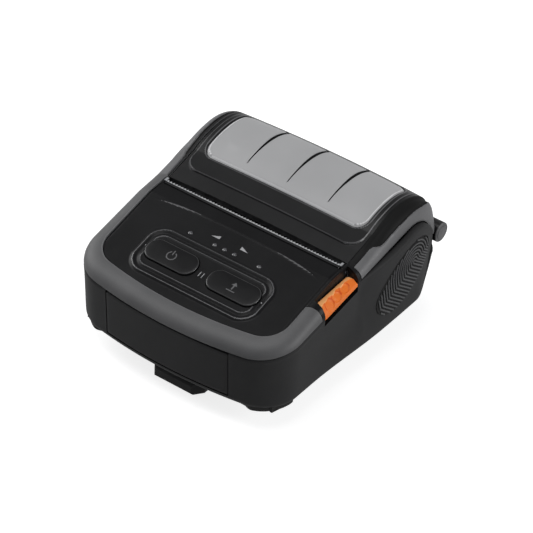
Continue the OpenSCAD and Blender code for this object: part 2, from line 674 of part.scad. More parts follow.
function lid_path(lift) = concat(
    [for (f = [[0, 0], [0.21, -0.15], [0.42, -0.3], [0.46, 0.7], [0.73, 0.35], [1, 0]])
        [lid_y0 + f[0] * (knee[0] - lid_y0), lid_z0 + f[0] * (knee[1] - lid_z0) + lift * f[1],
            f[0] * dome_deg[0]]],
    dome_arc([top_y, dome_c], dome_r[0], dome_deg[0], 0, 5),
    dome_arc(c2, dome_r[1], 0, dome_deg[1], 4),
    dome_arc(c3, dome_r[2], dome_deg[1], dome_deg[2], 4),
    [[tail_p[0] + tail_l * cos(dome_deg[2]), tail_p[1] - tail_l * sin(dome_deg[2]), dome_deg[2]]]);
function off(x, p, d) = [x, p[0] + d * sin(p[2]), p[1] + d * cos(p[2])];
function lid_ring(x, d0, d1) = let (path = lid_path(abs(x) > frame_hw - 1 ? 0 : 1),
    drop = crown * pow(x / frame_hw, 2))
    concat([for (p = path) off(x, p, d0 - drop)], [for (p = reversed(path)) off(x, p, d1 - drop)]);
frame_xs = [-frame_hw, 1.7 - frame_hw, -28, -14, 0, 14, 28, frame_hw - 1.7, frame_hw];
window_y0 = knee[0] - 0.3;
window_y1 = top_y + 13;
module window_plan(inset) {
    translate([0, (window_y0 + window_y1) / 2, 0]) linear_extrude(90)
        rounded(window_w - 2 * inset, window_y1 - window_y0 - 2 * inset, window_r - inset, $fn = 24);
}
module lid_frame() {
    color([0.1, 0.1, 0.105]) place() difference() {
        union() {
            loft([for (x = frame_xs) lid_ring(x, 0, -lid_t)], walled = true);
            xprism(-lug_x0, lug_x0, hinge_y, hinge_z, barrel_r * cos(7.5));
        }
        window_plan(1.4);
        intersection() {
            loft([for (x = frame_xs) lid_ring(x, 2, -1.5)], walled = true);
            window_plan(0);
        }
        both_sides() {
            xprism(lug_x0 - gap, 60, hinge_y, hinge_z, barrel_r + 0.55);
            xcyl(30.5, lug_x0 + 1, hinge_y, hinge_z, pin_r + run_gap);
            xcyl(35, lug_x0 + 1, hinge_y, hinge_z, 3.2);
        }
    }
}
module lid_window() {
    color([0.75, 0.76, 0.77, 0.55]) place() difference() {
        intersection() {
            loft([for (x = frame_xs) lid_ring(x, -0.1, -1.45)], walled = true);
            window_plan(0.15);
        }
        intersection() {
            loft([for (x = frame_xs) lid_ring(x, 2, -0.6)], walled = true);
            for (x = [-19.2, 0, 19.2]) linear_extrude(90)
                polygon([[x - 0.35, knee[0] + 3.7], [x + 0.35, knee[0] + 3.7], [x + 1, window_y1],
                    [x - 1, window_y1]]);
        }
    }
}
function lid_line(y) = lid_z0 + (y - lid_y0) * (knee[1] - lid_z0) / (knee[0] - lid_y0);
// Depth from the lid profile down to the seam, along the profile's normal
function seam_depth(p) =
    let (n = [sin(p[2]), cos(p[2])], q = [p[0], p[1]] - [top_y, ear_seam_z], b = q * n,
        line = (p[1] - seam_z0 - seam_rise * p[0]) / (n[1] - seam_rise * n[0]))
    p[0] < top_y - 1 && p[0] - line * n[0] < top_y - ear_seam_r * sin(seam_deg) ? line
        : b - sqrt(b * b - q * q + ear_seam_r * ear_seam_r);
cheek_t = 1.3;
module lid_cheek() {
    x0 = frame_hw + 0.1;
    rx = hw - x0;
    arc = [0, 15, 30, 45, 60, 75, 90];
    color([0.42, 0.42, 0.43]) place() difference() {
        loft([for (p = reversed(lid_path(0))) let (d = seam_depth(p) - 0.4 - crown) concat(
            [for (a = arc) off(x0 + rx * sin(a), p, -crown - d * (1 - cos(a)))],
            [for (a = reversed(arc)) off(x0 + (rx - cheek_t) * sin(a), p,
                -crown - cheek_t - (d - cheek_t) * (1 - cos(a)))])], walled = true);
        xprism(lug_x0 - gap, 60, hinge_y, hinge_z, barrel_r + 0.55);
        xprism(0, gear_x + gear_w + gap, platen_y, platen_z, gear_module * (platen_teeth / 2 + 0.8) + gap);
    }
}
module lid_cheek_right() lid_cheek();
module lid_cheek_left() mirror([1, 0, 0]) lid_cheek();
module hinge_pins() color([0.75, 0.75, 0.77]) place() both_sides() xcyl(31, 47, hinge_y, hinge_z, pin_r);
module hinge_caps() {
    color([0.4, 0.4, 0.41]) place() both_sides() difference() {
        union() {
            xcyl(lug_x1, 49.4, hinge_y, hinge_z, barrel_r);
            xcyl(49.4, 50, hinge_y, hinge_z, barrel_r - 0.6);
        }
        xcyl(lug_x1 - 1, 47, hinge_y, hinge_z, pin_r);
    }
}
module lid_spring() {
    color([0.8, 0.8, 0.82]) place() both_sides() translate([35.1, hinge_y, hinge_z]) along_x()
        coil(2.9, 0.9, lug_x0 - 35.2, 6);
}
arm_x0 = paper_w / 2 + 0.4;
arm_x1 = arm_x0 + 1.1;
module platen_bracket() {
    rear = platen_y + 7;
    top = lid_line(rear - 1.6) - 3.05;
    color([0.15, 0.15, 0.16]) place() {
        both_sides() xbar(arm_x0, arm_x1) difference() {
            union() {
                translate([platen_y, platen_z]) circle(4);
                polygon([[platen_y - 3.9, platen_z], [platen_y - 3.9, lid_line(platen_y - 3.9) - 3.9],
                    [platen_y + 1.5, lid_line(platen_y + 1.5) - 4], [rear - 1.6, top], [rear, top],
                    [rear, zb + 31], [platen_y + 3, platen_z - 2.7]]);
            }
            translate([platen_y, platen_z]) circle(shaft_r + run_gap);
        }
        block(-arm_x1, arm_x1, rear - 1.6, rear, zb + 31, top);
    }
}
module platen_bushings() {
    color([0.72, 0.6, 0.35]) place() both_sides()
        xtube(arm_x1 + 0.1, plate_x + plate_t + 0.2, platen_y, platen_z, bushing_d / 2, shaft_r + run_gap);
}
module platen_roller() {
    x1 = paper_w / 2 + 0.1;
    color([0.2, 0.2, 0.21]) place() xtube(-x1, x1, platen_y, platen_z, roller_d / 2, shaft_r);
}
module platen_shaft() {
    color([0.75, 0.75, 0.77]) place()
        xcyl(-gear_x - gear_w - 0.2, lever_x1 + 0.2, platen_y, platen_z, shaft_r);
}

// Lid release: button, return spring and latch lever
function release_top(y) = zb + 34.3 + (y - 35.6) * 0.095;
module release_button() {
    color([0.85, 0.49, 0.25]) place() {
        loft([for (t = reversed(steps(6))) let (y = release_y0 + (release_y1 - release_y0) * t,
            e = seam_z(y) + gap, z = release_top(y), d = t == 0 || t == 1 ? 0.5 : 0)
            [[release_x, y, e - 0.8], [release_x, y, z - d], [release_x + 0.6, y, z - d + 0.05],
                [hw - 0.5, y, e + 0.5], [hw, y, e], [hw, y, e - 0.8]]]);
        block(release_x, release_x + 1.6, 40.2, 42.8, latch_z + 4.35, seam_z(40) + 1);
        block(lever_x0, release_x + 1, 40.2, 42.8, latch_z + 4.35, latch_z + 5.8);
        translate([spring_x, spring_y, spring_z + spring_l])
            cylinder(r = 1.15, h = seam_z(spring_y) - spring_z - 2.4);
        xbar(hw - 3.1, hw - 2.6) polygon([for (p = [[release_y0 + 0.3, 0], [spring_y - 2.9, 0],
            [spring_y - 2.9, -5.4], [release_y0 + 0.3, -5.4]]) [p[0], seam_z(p[0]) + p[1]]]);
    }
}
module release_spring() {
    color([0.8, 0.8, 0.82]) place() translate([spring_x, spring_y, spring_z])
        coil(1.1, 0.4, spring_l, 4);
}
module latch_lever() {
    color([0.6, 0.6, 0.62]) place() xbar(lever_x0, lever_x1) difference() {
        union() {
            translate([latch_y, latch_z]) circle(3.2);
            polygon([for (p = [[-10.4, 1.8], [0, -3], [2.5, -1.6], [7.4, 6.5], [7.4, 10], [8.6, 11.2],
                [8.6, 12], [6, 12], [4.8, 11.2], [4.4, 8.6], [-0.6, 3.5], [-10, 4], [-10.8, 3.4]])
                [latch_y, latch_z] + p]);
        }
        translate([latch_y, latch_z]) circle(1.2 + run_gap);
    }
}
module latch_pin() {
    color([0.75, 0.75, 0.77]) place() {
        xcyl(plate_x, lever_x1 + 0.1, latch_y, latch_z, 1.2);
        xcyl(lever_x1 + 0.1, lever_x1 + 0.6, latch_y, latch_z, 2);
    }
}

lower_case();
side_grips();
corner_feet();
top_bezel();
control_panel();
indicator_lenses();
power_button();
feed_button();
panel_board();
main_board();
tear_bar();
mechanism_frame();
stepper_motor();
motor_pinion();
idler_gear();
idler_stud();
print_head();
heat_sink();
head_pivot_pin();
head_springs();
paper_sensor();
roll_tray();
battery_pack();
battery_contacts();
belt_clip();
clip_screws();
case_screws();
port_cover();
dc_jack();
usb_socket();
hinge_pins();
hinge_caps();
lid_spring();
lid_frame();
lid_window();
lid_cheek_left();
lid_cheek_right();
platen_bracket();
platen_bushings();
platen_roller();
platen_shaft();
platen_gear();
release_button();
release_spring();
latch_lever();
latch_pin();
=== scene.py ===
# Portable receipt printer, finished over its CAD frame
import bpy, bmesh, json
import numpy as np
from math import asin, atan, cos, exp, hypot, pi, radians, sin, sqrt
from mathutils import Matrix, Vector


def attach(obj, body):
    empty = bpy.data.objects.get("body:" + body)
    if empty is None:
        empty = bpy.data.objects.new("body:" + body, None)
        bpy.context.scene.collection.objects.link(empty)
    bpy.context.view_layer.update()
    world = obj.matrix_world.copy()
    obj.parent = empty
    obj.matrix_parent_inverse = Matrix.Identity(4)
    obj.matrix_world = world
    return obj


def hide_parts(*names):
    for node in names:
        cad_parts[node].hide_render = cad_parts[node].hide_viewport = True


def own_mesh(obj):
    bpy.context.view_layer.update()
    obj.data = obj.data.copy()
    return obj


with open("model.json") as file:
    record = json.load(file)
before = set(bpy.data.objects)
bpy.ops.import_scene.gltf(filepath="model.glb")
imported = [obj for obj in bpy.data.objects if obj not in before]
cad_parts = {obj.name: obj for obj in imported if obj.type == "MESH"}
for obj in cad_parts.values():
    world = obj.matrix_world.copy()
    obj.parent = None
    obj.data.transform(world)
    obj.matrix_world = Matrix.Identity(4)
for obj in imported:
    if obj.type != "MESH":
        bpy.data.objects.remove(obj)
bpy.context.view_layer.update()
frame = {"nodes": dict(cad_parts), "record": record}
cad = frame["nodes"]
bodyOf = {n: b for b, names in frame["record"]["behaviour"]["bodies"].items() for n in names}
print("frame loaded with", len(cad), "nodes")

# Bench measures in millimetres: y runs from the front wall, z from the underside of the clip
bench = {"length": 111.0, "half": 49.0, "floor": 10.0, "front": 57.05, "gap": 0.3, "bow": 206, "corner": 17}
seam = {"z": 34.15, "rise": 0.183, "arcY": 90, "arcR": 13.5, "end": 101.99, "tail": 31.4}
bulge = {"y": 83.5, "z": 37, "reach": 27, "rise": 3.4}
panelLine = {"z": 49.2, "y": 45.8, "front": 0.26, "rear": 0.07}
hingeAt, gearAt = (0, 110, 36), (0, 62.7, 43.2)
caseScrewAt = [(side * x, y) for x, y in ((36.5, 15.6), (38, 57)) for side in (1, -1)]
clipScrewAt = [(0, 84), (0, 96)]
keyPocket = (34.5, 55.1)


# ---- mesh helpers
def toRow(points):
    return (np.asarray(points, float) - (0, bench["front"], 0)) / 1000


def ease(t):
    t = np.clip(t, 0, 1)
    return t * t * (3 - 2 * t)


def middle(a):
    # a grid's values at the middles of its faces
    return 0.25 * (a[:-1, :-1] + a[1:, :-1] + a[:-1, 1:] + a[1:, 1:])


def newPiece(name, mesh):
    piece = bpy.data.objects.new(name, mesh)
    bpy.context.collection.objects.link(piece)
    return piece


def smoothed(mesh, angle):
    mesh.shade_smooth()
    mesh.set_sharp_from_angle(angle=radians(angle))


def gridFaces(rows, cols, closeRows=False, closeCols=False, start=0):
    at = lambda i, j: start + i % rows * cols + j % cols
    return [(at(i, j), at(i, j + 1), at(i + 1, j + 1), at(i + 1, j))
            for i in range(rows - (not closeRows)) for j in range(cols - (not closeCols))]


def makePiece(name, points, faces, looks, angle=32, index=None):
    # looks names the finishes of the slots, split by blanks
    mesh = bpy.data.meshes.new(name)
    mesh.from_pydata(toRow(points).tolist(), [], faces)
    for key in looks.split():
        mesh.materials.append(finish[key])
    if index is not None:
        mesh.polygons.foreach_set("material_index", index)
    bm = bmesh.new()
    bm.from_mesh(mesh)
    bmesh.ops.remove_doubles(bm, verts=bm.verts, dist=2e-6)
    bmesh.ops.recalc_face_normals(bm, faces=bm.faces)
    bm.to_mesh(mesh)
    bm.free()
    smoothed(mesh, angle)
    return newPiece(name, mesh)


def loft(name, rings, looks, angle=32, index=None, closed=False):
    n, count = len(rings[0]), len(rings)
    faces = gridFaces(count, n, closed, True)
    if not closed:
        faces += [tuple(range(n)), tuple(range((count - 1) * n, count * n))]
    return makePiece(name, np.concatenate(rings), faces, looks, angle, index)


def shellOfGrids(name, top, bottom, looks, angle=32, index=()):
    rows, cols = top.shape[:2]
    count = rows * cols
    faces = gridFaces(rows, cols) + [f[::-1] for f in gridFaces(rows, cols, start=count)]
    rim = [*range(cols), *range(2 * cols - 1, count, cols), *range(count - 2, count - cols - 1, -1),
           *range(count - 2 * cols, 0, -cols)]
    faces += [(a, b, b + count, a + count) for a, b in zip(rim, rim[1:] + rim[:1])]
    index = list(index) + [0] * (len(faces) - len(index))
    return makePiece(name, np.concatenate([top.reshape(-1, 3), bottom.reshape(-1, 3)]), faces, looks, angle, index)


def lathe(name, profile, looks, segments=64, at=(0, 0, 0), axis="x", angle=32):
    # the profile gives places along the axis with their radii
    order = [0, 1, 2] if axis == "x" else [1, 2, 0]
    turn = np.linspace(0, 2 * pi, segments, endpoint=False)
    rings = [np.array([(h, r * cos(t), r * sin(t)) for t in turn])[:, order] + at for h, r in np.array(profile, float)]
    return loft(name, rings, looks, angle, closed=max(profile[0][1], profile[-1][1]) >= 1e-6)


def upright(name, profile, looks, x, y, segments=32, angle=32):
    return lathe(name, profile, looks, segments, (x, y, 0), "z", angle)


def prism(name, outline, low, high, looks):
    return loft(name, [np.array([(x, y, z) for x, y in outline], float) for z in (low, high)], looks)


def crossPrism(name, outline, x0, x1, looks):
    # an outline of y and z drawn out along x
    return loft(name, [np.array([(x, y, z) for y, z in outline], float) for x in (x0, x1)], looks)


def boxPiece(name, x0, x1, y0, y1, z0, z1, looks):
    return prism(name, [(x0, y0), (x1, y0), (x1, y1), (x0, y1)], z0, z1, looks)


def roundedRect(w, d, r, n=10, centre=(0, 0)):
    turns = [(cx, cy, radians(a0 + 90 * i / n)) for cx, cy, a0 in ((1, 1, 0), (-1, 1, 90), (-1, -1, 180), (1, -1, 270))
             for i in range(n + 1)]
    return [(centre[0] + cx * (w / 2 - r) + r * cos(a), centre[1] + cy * (d / 2 - r) + r * sin(a)) for cx, cy, a in turns]


def rectDistance(x, y, w, d, r):
    # distance inside a rounded rectangle, positive within
    qx, qy = np.abs(x) - (w / 2 - r), np.abs(y) - (d / 2 - r)
    return r - np.hypot(np.maximum(qx, 0), np.maximum(qy, 0)) - np.minimum(np.maximum(qx, qy), 0)


def flattened(piece, angle=32):
    # turns live modifiers into the plain mesh
    mesh = bpy.data.meshes.new_from_object(piece.evaluated_get(bpy.context.evaluated_depsgraph_get()))
    piece.modifiers.clear()
    old, piece.data = piece.data, mesh
    bpy.data.meshes.remove(old)
    while len(mesh.materials) > 1 and mesh.materials[0] is None:
        mesh.materials.pop(index=0)
    smoothed(mesh, angle)
    return piece


def carve(piece, *cutters, mode="DIFFERENCE", angle=32):
    for cutter in cutters:
        step = piece.modifiers.new("carve", "BOOLEAN")
        step.operation, step.solver, step.object = mode, "EXACT", cutter
        flattened(piece, angle)
        bpy.data.objects.remove(cutter)
    return piece


def bevelled(piece, width, segments, angle):
    edge = piece.modifiers.new("edges", "BEVEL")
    edge.width, edge.segments, edge.limit_method, edge.angle_limit = width / 1000, segments, "ANGLE", radians(angle)
    return flattened(piece, 35)


def joined(name, pieces, angle=32):
    bm, materials = bmesh.new(), []
    for p in pieces:
        for m in p.data.materials:
            if m not in materials:
                materials.append(m)
        slots = [materials.index(m) for m in p.data.materials]
        before = len(bm.faces)
        bm.from_mesh(p.data)
        bm.faces.ensure_lookup_table()
        for f in bm.faces[before:]:
            f.material_index = slots[min(f.material_index, len(slots) - 1)]
        bpy.data.objects.remove(p)
    mesh = bpy.data.meshes.new(name)
    bm.to_mesh(mesh)
    bm.free()
    for m in materials:
        mesh.materials.append(m)
    smoothed(mesh, angle)
    return newPiece(name, mesh)


def softened(name, node, look, width):
    # a copy of a CAD solid, merged and with its edges broken as a moulding's or a pressing's are
    mesh = cad[node].data.copy()
    bm = bmesh.new()
    bm.from_mesh(mesh)
    bm.transform(cad[node].matrix_world)
    bmesh.ops.remove_doubles(bm, verts=bm.verts, dist=1e-6)
    bmesh.ops.dissolve_limit(bm, angle_limit=radians(1.5), verts=bm.verts, edges=bm.edges)
    bm.to_mesh(mesh)
    bm.free()
    mesh.materials.clear()
    mesh.materials.append(finish[look])
    return dress(bevelled(newPiece(name, mesh), width, 2, 30), node)


def dress(piece, *names):
    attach(piece, bodyOf[names[0]])
    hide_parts(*names)
    return piece


# ---- node trees: a wire is an output, and shader maths is written as an expression
def addNode(tree, kind, inputs, settings):
    made = tree.nodes.new(kind)
    for key, value in settings.items():
        setattr(made, key, value)
    for key, value in (inputs or {}).items():
        value = getattr(value, "socket", value)
        if isinstance(value, bpy.types.NodeSocket):
            tree.links.new(value, made.inputs[key])
        else:
            made.inputs[key].default_value = value
    return made


class Wire:
    def __init__(self, shade, socket):
        self.shade, self.socket = shade, socket

    def out(self, name):
        return Wire(self.shade, self.socket.node.outputs[name])

    def maths(self, operation, *others):
        return self.shade.node("Math", dict(enumerate(others)), operation=operation)

    def __add__(self, other): return self.maths("ADD", self, other)
    def __radd__(self, other): return self.maths("ADD", other, self)
    def __sub__(self, other): return self.maths("SUBTRACT", self, other)
    def __rsub__(self, other): return self.maths("SUBTRACT", other, self)
    def __mul__(self, other): return self.maths("MULTIPLY", self, other)

    def ramp(self, low, high):
        return self.shade.node("MapRange", {"Value": self, "From Min": low, "From Max": high}, interpolation_type="SMOOTHSTEP")


class Shade:
    def __init__(self, name, kind="materials"):
        self.block = getattr(bpy.data, kind).new(name)
        self.block.use_nodes = True
        self.tree = self.block.node_tree
        self.tree.nodes.clear()
        self.place = self.node("TexCoord").out("Object")

    def node(self, kind, inputs=None, **settings):
        made = addNode(self.tree, "ShaderNode" + kind, inputs, settings)
        return Wire(self, made.outputs[0]) if made.outputs else made

    def noise(self, scale, detail, roughness=0.5, place=None):
        return self.node("TexNoise", {"Vector": place or self.place, "Scale": scale, "Detail": detail, "Roughness": roughness})

    def stretched(self, scale):
        return self.node("Mapping", {"Vector": self.place, "Scale": scale})

    def mix(self, share, a, b):
        return self.node("Mix", {0: share, 6: a, 7: b}, data_type="RGBA").out(2)

    def bump(self, height, strength, distance):
        return self.node("Bump", {"Height": height, "Strength": strength, "Distance": distance})

    def plainlySeen(self):
        # one for the camera and through clear plastic, part of it in reflections
        path = self.node("LightPath")
        direct = path.maths("MAXIMUM", path, path.out("Is Transmission Ray"))
        return path.maths("MAXIMUM", direct, path.out("Is Glossy Ray") * studio["mirror"])

    def finish(self, **sockets):
        shader = self.node("BsdfPrincipled", {k.replace("_", " "): v for k, v in sockets.items()})
        self.node("OutputMaterial", {"Surface": shader})
        return self.block


def rgba(colour, gain=1.0):
    return tuple(min(1.0, c * gain) for c in colour) + (1.0,)


# Moulded plastics: spark-eroded grain, slight mottling, faint handling marks, and edges lightened by pointiness, partly
# as rubbed wear and partly as a painted edge highlight
def moulded(name, colour, rough, grain, specular=0.5, wearAndEdgeHighlight=0.35, mottle=0.1, coat=0.0):
    s = Shade(name)
    fine = s.noise(3200, 2.0, 0.6)
    pits = s.node("TexVoronoi", {"Vector": s.place, "Scale": 1440.0})
    cloud = s.noise(55, 4.0, 0.6)
    marks = s.noise(210, 5.0, 0.7, s.stretched((1, 0.35, 0.6)))
    edge = s.node("NewGeometry").out("Pointiness").ramp(0.52, 0.62)
    base = s.mix(cloud.ramp(0.3, 0.7), rgba(colour, 1 - mottle), rgba(colour, 1 + mottle))
    base = s.mix(fine.ramp(0.35, 0.75) * 0.16, base, rgba(colour, 1.6))
    # convex edges are lightened: partly rubbed wear, partly a painted highlight along the edges
    base = s.mix(edge * (marks.ramp(0.35, 0.6) * wearAndEdgeHighlight), base, rgba([c + 0.03 for c in colour], 1.5))
    return s.finish(Base_Color=base, Roughness=rough + (cloud - 0.5) * 0.12 + (marks - 0.5) * 0.1 - edge * 0.06,
                    Specular_IOR_Level=specular, Coat_Weight=coat, Coat_Roughness=0.15,
                    Normal=s.bump(fine * 0.6 + pits * 0.4, grain, 0.00004))


def softTouch(name, colour, rough, grain=0.6):
    s = Shade(name)
    fine = s.noise(5200, 3.0, 0.7)
    dust = s.noise(38, 6.0, 0.65).ramp(0.45, 0.75)
    base = s.mix(dust * 0.35, rgba(colour), rgba([c + 0.012 for c in colour], 1.25))
    return s.finish(Base_Color=base, Roughness=rough + fine * 0.12 - dust * 0.06, Specular_IOR_Level=0.35,
                    Normal=s.bump(fine, grain, 0.00003))


def metal(name, colour, rough, lines, strength=0.25, tarnish=0.15):
    s = Shade(name)
    brush = s.noise(900, 3.0, 0.6, s.stretched(lines))
    spots = s.noise(160, 4.0, 0.65)
    base = s.mix(spots.ramp(0.35, 0.75) * tarnish, rgba(colour), rgba(colour, 0.62))
    return s.finish(Base_Color=base, Metallic=1.0, Roughness=rough + (brush - 0.5) * 0.22 + (spots - 0.5) * 0.08,
                    Normal=s.bump(brush, strength, 0.00002))


def boardFinish(name, colour):
    # solder mask with traces, vias and bare pads
    s = Shade(name)
    lane = s.node("TexWave", {"Vector": s.stretched((1, 0.15, 1)), "Scale": 420, "Distortion": 2.5, "Detail": 1.0,
                              "Detail Scale": 0.3}, wave_type="BANDS", bands_direction="X")
    trace = lane.ramp(0.62, 0.72) * s.noise(70, 0.0).ramp(0.42, 0.5)
    cell = s.node("TexVoronoi", {"Vector": s.place, "Scale": 330, "Randomness": 0.6}, feature="F1")
    via = 1 - cell.ramp(0.10, 0.13)
    base = s.mix(via, s.mix(trace * 0.55, rgba(colour), rgba(colour, 1.9)), (0.62, 0.6, 0.52, 1))
    return s.finish(Base_Color=base, Roughness=0.28 + via * 0.15, Coat_Weight=0.3 - via * 0.3, Coat_Roughness=0.1,
                    Normal=s.bump(trace * 0.6 + via, 0.4, 0.00005))


def frosted(name, colour, alpha=0.86):
    s = Shade(name)
    haze = s.noise(2600, 2.0, 0.5)
    wipe = s.noise(120, 4.0, 0.6, s.stretched((0.3, 1, 1))).ramp(0.5, 0.8)
    base = s.mix(s.noise(30, 3.0, 0.5).ramp(0.3, 0.7), rgba(colour, 0.96), rgba(colour, 1.04))
    return s.finish(Base_Color=base, Roughness=0.34 + (haze - 0.5) * 0.08 + wipe * 0.08, Alpha=alpha, IOR=1.49,
                    Specular_IOR_Level=0.5, Normal=s.bump(haze, 0.12, 0.00002))


finish = {
    "case": moulded("casePlastic", (0.026, 0.026, 0.0265), 0.55, 0.55, 0.12),
    "grip": softTouch("gripRubber", (0.075, 0.075, 0.077), 0.62),
    # near-black grip base under the ribs: painted shade in the grooves
    "gripPad": softTouch("gripBase", (0.004, 0.004, 0.004), 0.8, 0.3),
    "bezel": moulded("bezelPlastic", (0.090, 0.090, 0.092), 0.5, 0.45, 0.35),
    "cheek": moulded("cheekPlastic", (0.120, 0.120, 0.123), 0.46, 0.45, 0.35),
    "panel": moulded("panelPlastic", (0.0045, 0.0045, 0.005), 0.34, 0.3, 0.13, mottle=0.2),
    "key": moulded("keyPlastic", (0.0045, 0.0045, 0.005), 0.32, 0.25, 0.14),
    "frame": moulded("framePlastic", (0.007, 0.007, 0.0075), 0.34, 0.25, 0.2, wearAndEdgeHighlight=0.4),
    # near-black recess finish: painted shade on cut pockets and bores, window grooves, the cheeks' upper bands and the
    # walls under the release key, and a dark gap in the bezel's slit
    "recess": moulded("recessPlastic", (0.003, 0.003, 0.003), 0.6, 0.3, 0.15, wearAndEdgeHighlight=0.1),
    "inner": moulded("innerPlastic", (0.014, 0.014, 0.015), 0.55, 0.4, 0.3, wearAndEdgeHighlight=0.15),
    "clip": moulded("clipPlastic", (0.008, 0.008, 0.0085), 0.5, 0.5, 0.25),
    "foot": softTouch("footRubber", (0.006, 0.006, 0.006), 0.7),
    "orange": moulded("orangePlastic", (0.86, 0.185, 0.020), 0.5, 0.3, 0.3, wearAndEdgeHighlight=0.2, mottle=0.05),
    # a lighter and a deeper copy of the orange: painted highlight on the release key's top facet, painted shade round
    # its scallops
    "orangeLight": moulded("orangeFacet", (0.98, 0.43, 0.155), 0.45, 0.2, 0.3, wearAndEdgeHighlight=0.2, mottle=0.03),
    "orangeDeep": moulded("orangeScallop", (0.70, 0.095, 0.010), 0.55, 0.3, 0.25, wearAndEdgeHighlight=0.1, mottle=0.05),
    "window": frosted("frostedWindow", (0.44, 0.44, 0.445)),
    # a lighter copy of the window finish: painted highlight on the lip round the window's border
    "windowEdge": frosted("polishedWindowEdge", (0.66, 0.66, 0.665), 0.95),
    # a lighter black: painted highlight lines on the panel island's ridges, the panel crease, the lid's step and the
    # window's lip
    "edge": moulded("polishedEdge", (0.085, 0.085, 0.088), 0.3, 0.1, 0.4, wearAndEdgeHighlight=0.2),
    # a lighter black: painted highlight on the keys' rounded top edges
    "keyEdge": moulded("keyBevel", (0.030, 0.030, 0.031), 0.3, 0.1, 0.4, wearAndEdgeHighlight=0.2),
    "lens": moulded("lensPlastic", (0.05, 0.05, 0.055), 0.2, 0.05, wearAndEdgeHighlight=0.1, coat=0.5),
    "print": moulded("markInk", (0.34, 0.34, 0.35), 0.5, 0.1, wearAndEdgeHighlight=0.0),
    "faint": moulded("keyMarkInk", (0.075, 0.075, 0.078), 0.5, 0.1, wearAndEdgeHighlight=0.0),
    "board": boardFinish("solderMask", (0.012, 0.10, 0.035)),
    "connector": moulded("connectorPlastic", (0.02, 0.02, 0.021), 0.4, 0.3),
    "ivory": moulded("gearPlastic", (0.62, 0.60, 0.54), 0.38, 0.15, mottle=0.05),
    "ceramic": moulded("glazedCeramic", (0.60, 0.60, 0.56), 0.2, 0.1, mottle=0.04, coat=0.5),
    "roller": softTouch("rollerRubber", (0.02, 0.02, 0.021), 0.62, 0.8),
    "sheet": metal("zincSheet", (0.55, 0.56, 0.58), 0.34, (40, 1, 1)),
    "teeth": metal("groundTeeth", (0.75, 0.76, 0.78), 0.3, (1, 40, 1), tarnish=0.1),
    "steel": metal("turnedSteel", (0.62, 0.62, 0.64), 0.22, (1, 8, 8)),
    "spring": metal("springWire", (0.6, 0.6, 0.62), 0.28, (8, 8, 8)),
    "black": metal("blackScrew", (0.035, 0.035, 0.037), 0.45, (4, 4, 4), tarnish=0.4),
    "brass": metal("gearBrass", (0.72, 0.5, 0.2), 0.28, (6, 6, 6)),
    "alloy": metal("castAlloy", (0.42, 0.42, 0.44), 0.5, (3, 3, 3), 0.5),
}
print("finishes made:", len(finish))

# CAD solids that keep their shape get their real finish
carried = {"sheet": "usb_socket", "steel": "idler_stud head_pivot_pin hinge_pins platen_shaft latch_pin",
           "ivory": "idler_gear platen_gear", "brass": "motor_pinion platen_bushings battery_contacts",
           "ceramic": "print_head", "roller": "platen_roller", "connector": "paper_sensor", "board": "panel_board main_board"}
for key, names in carried.items():
    for n in names.split():
        for slot in cad[n].material_slots:
            slot.material = finish[key]


# ---- forms shared by the shells
def panelZ(y):
    g = panelLine
    y = np.asarray(y, float)
    return g["z"] + (y - g["y"]) * np.where(y < g["y"], g["front"], g["rear"])


earSeamZ = seam["z"] + seam["rise"] * seam["arcY"] - seam["arcR"] * hypot(1, seam["rise"])
arcStart = seam["arcY"] - seam["arcR"] * sin(atan(seam["rise"]))


def seamZ(y):
    y = np.asarray(y, float)
    arc = earSeamZ + np.sqrt(np.maximum(0, seam["arcR"] ** 2 - (y - seam["arcY"]) ** 2))
    z = np.where(y < arcStart, seam["z"] + seam["rise"] * y, arc)
    return np.where(y < seam["end"], z, seam["tail"])


def skirtX(y, z):
    # the wall stands fuller low down, towards the bulges
    along = 0.5 + 2.4 * ease((y - 30) / 44)
    return along * ease((108 - y) / 14) * ease((30 - z) / 17)


ball = (bulge["reach"] ** 2 + bulge["rise"] ** 2) / (2 * bulge["rise"])


def earX(y, z):
    rise, p2 = bulge["rise"], (y - bulge["y"]) ** 2 + (z - bulge["z"]) ** 2
    cap = np.where(p2 < bulge["reach"] ** 2, np.sqrt(np.maximum(0, ball ** 2 - p2)) - ball + rise, 0)
    crease = 0.35 * ease((y - 56.5) / 1.2) * ease((z - 14) / 10) * ease((108 - y) / 10)
    return np.maximum(cap, crease * ease(1.2 - cap)) + skirtX(y, z) * (1 - cap / rise)


def ballX(y, z):
    rise = bulge["rise"]
    cap = rise - ball + np.sqrt(ball ** 2 - (y - bulge["y"]) ** 2 - (z - bulge["z"]) ** 2)
    return bench["half"] + cap + skirtX(y, z) * (1 - np.clip(cap, 0, rise) / rise)


def rimOutline(half, front, r, bow, yEnd, sides, corners=20, noses=14, power=1.0):
    cy = front + bow - sqrt((bow - r) ** 2 - (half - r) ** 2)
    lean = asin((half - r) / (bow - r))
    right = [(half, yEnd + (cy - yEnd) * (t / sides) ** power) for t in range(sides + 1)]
    for i in range(1, corners + 1):
        a = i / corners * (pi / 2 - lean)
        right.append((half - r + r * cos(a), cy - r * sin(a)))
    for i in range(noses - 1, 0, -1):
        a = lean * i / noses
        right.append((bow * sin(a), front + bow * (1 - cos(a))))
    return np.array(right + [(0, front)] + [(-x, y) for x, y in reversed(right)])


def caseOutline(inset, yEnd, *counts):
    return rimOutline(bench["half"] - inset, inset, bench["corner"] - inset, bench["bow"] - inset, yEnd, *counts)


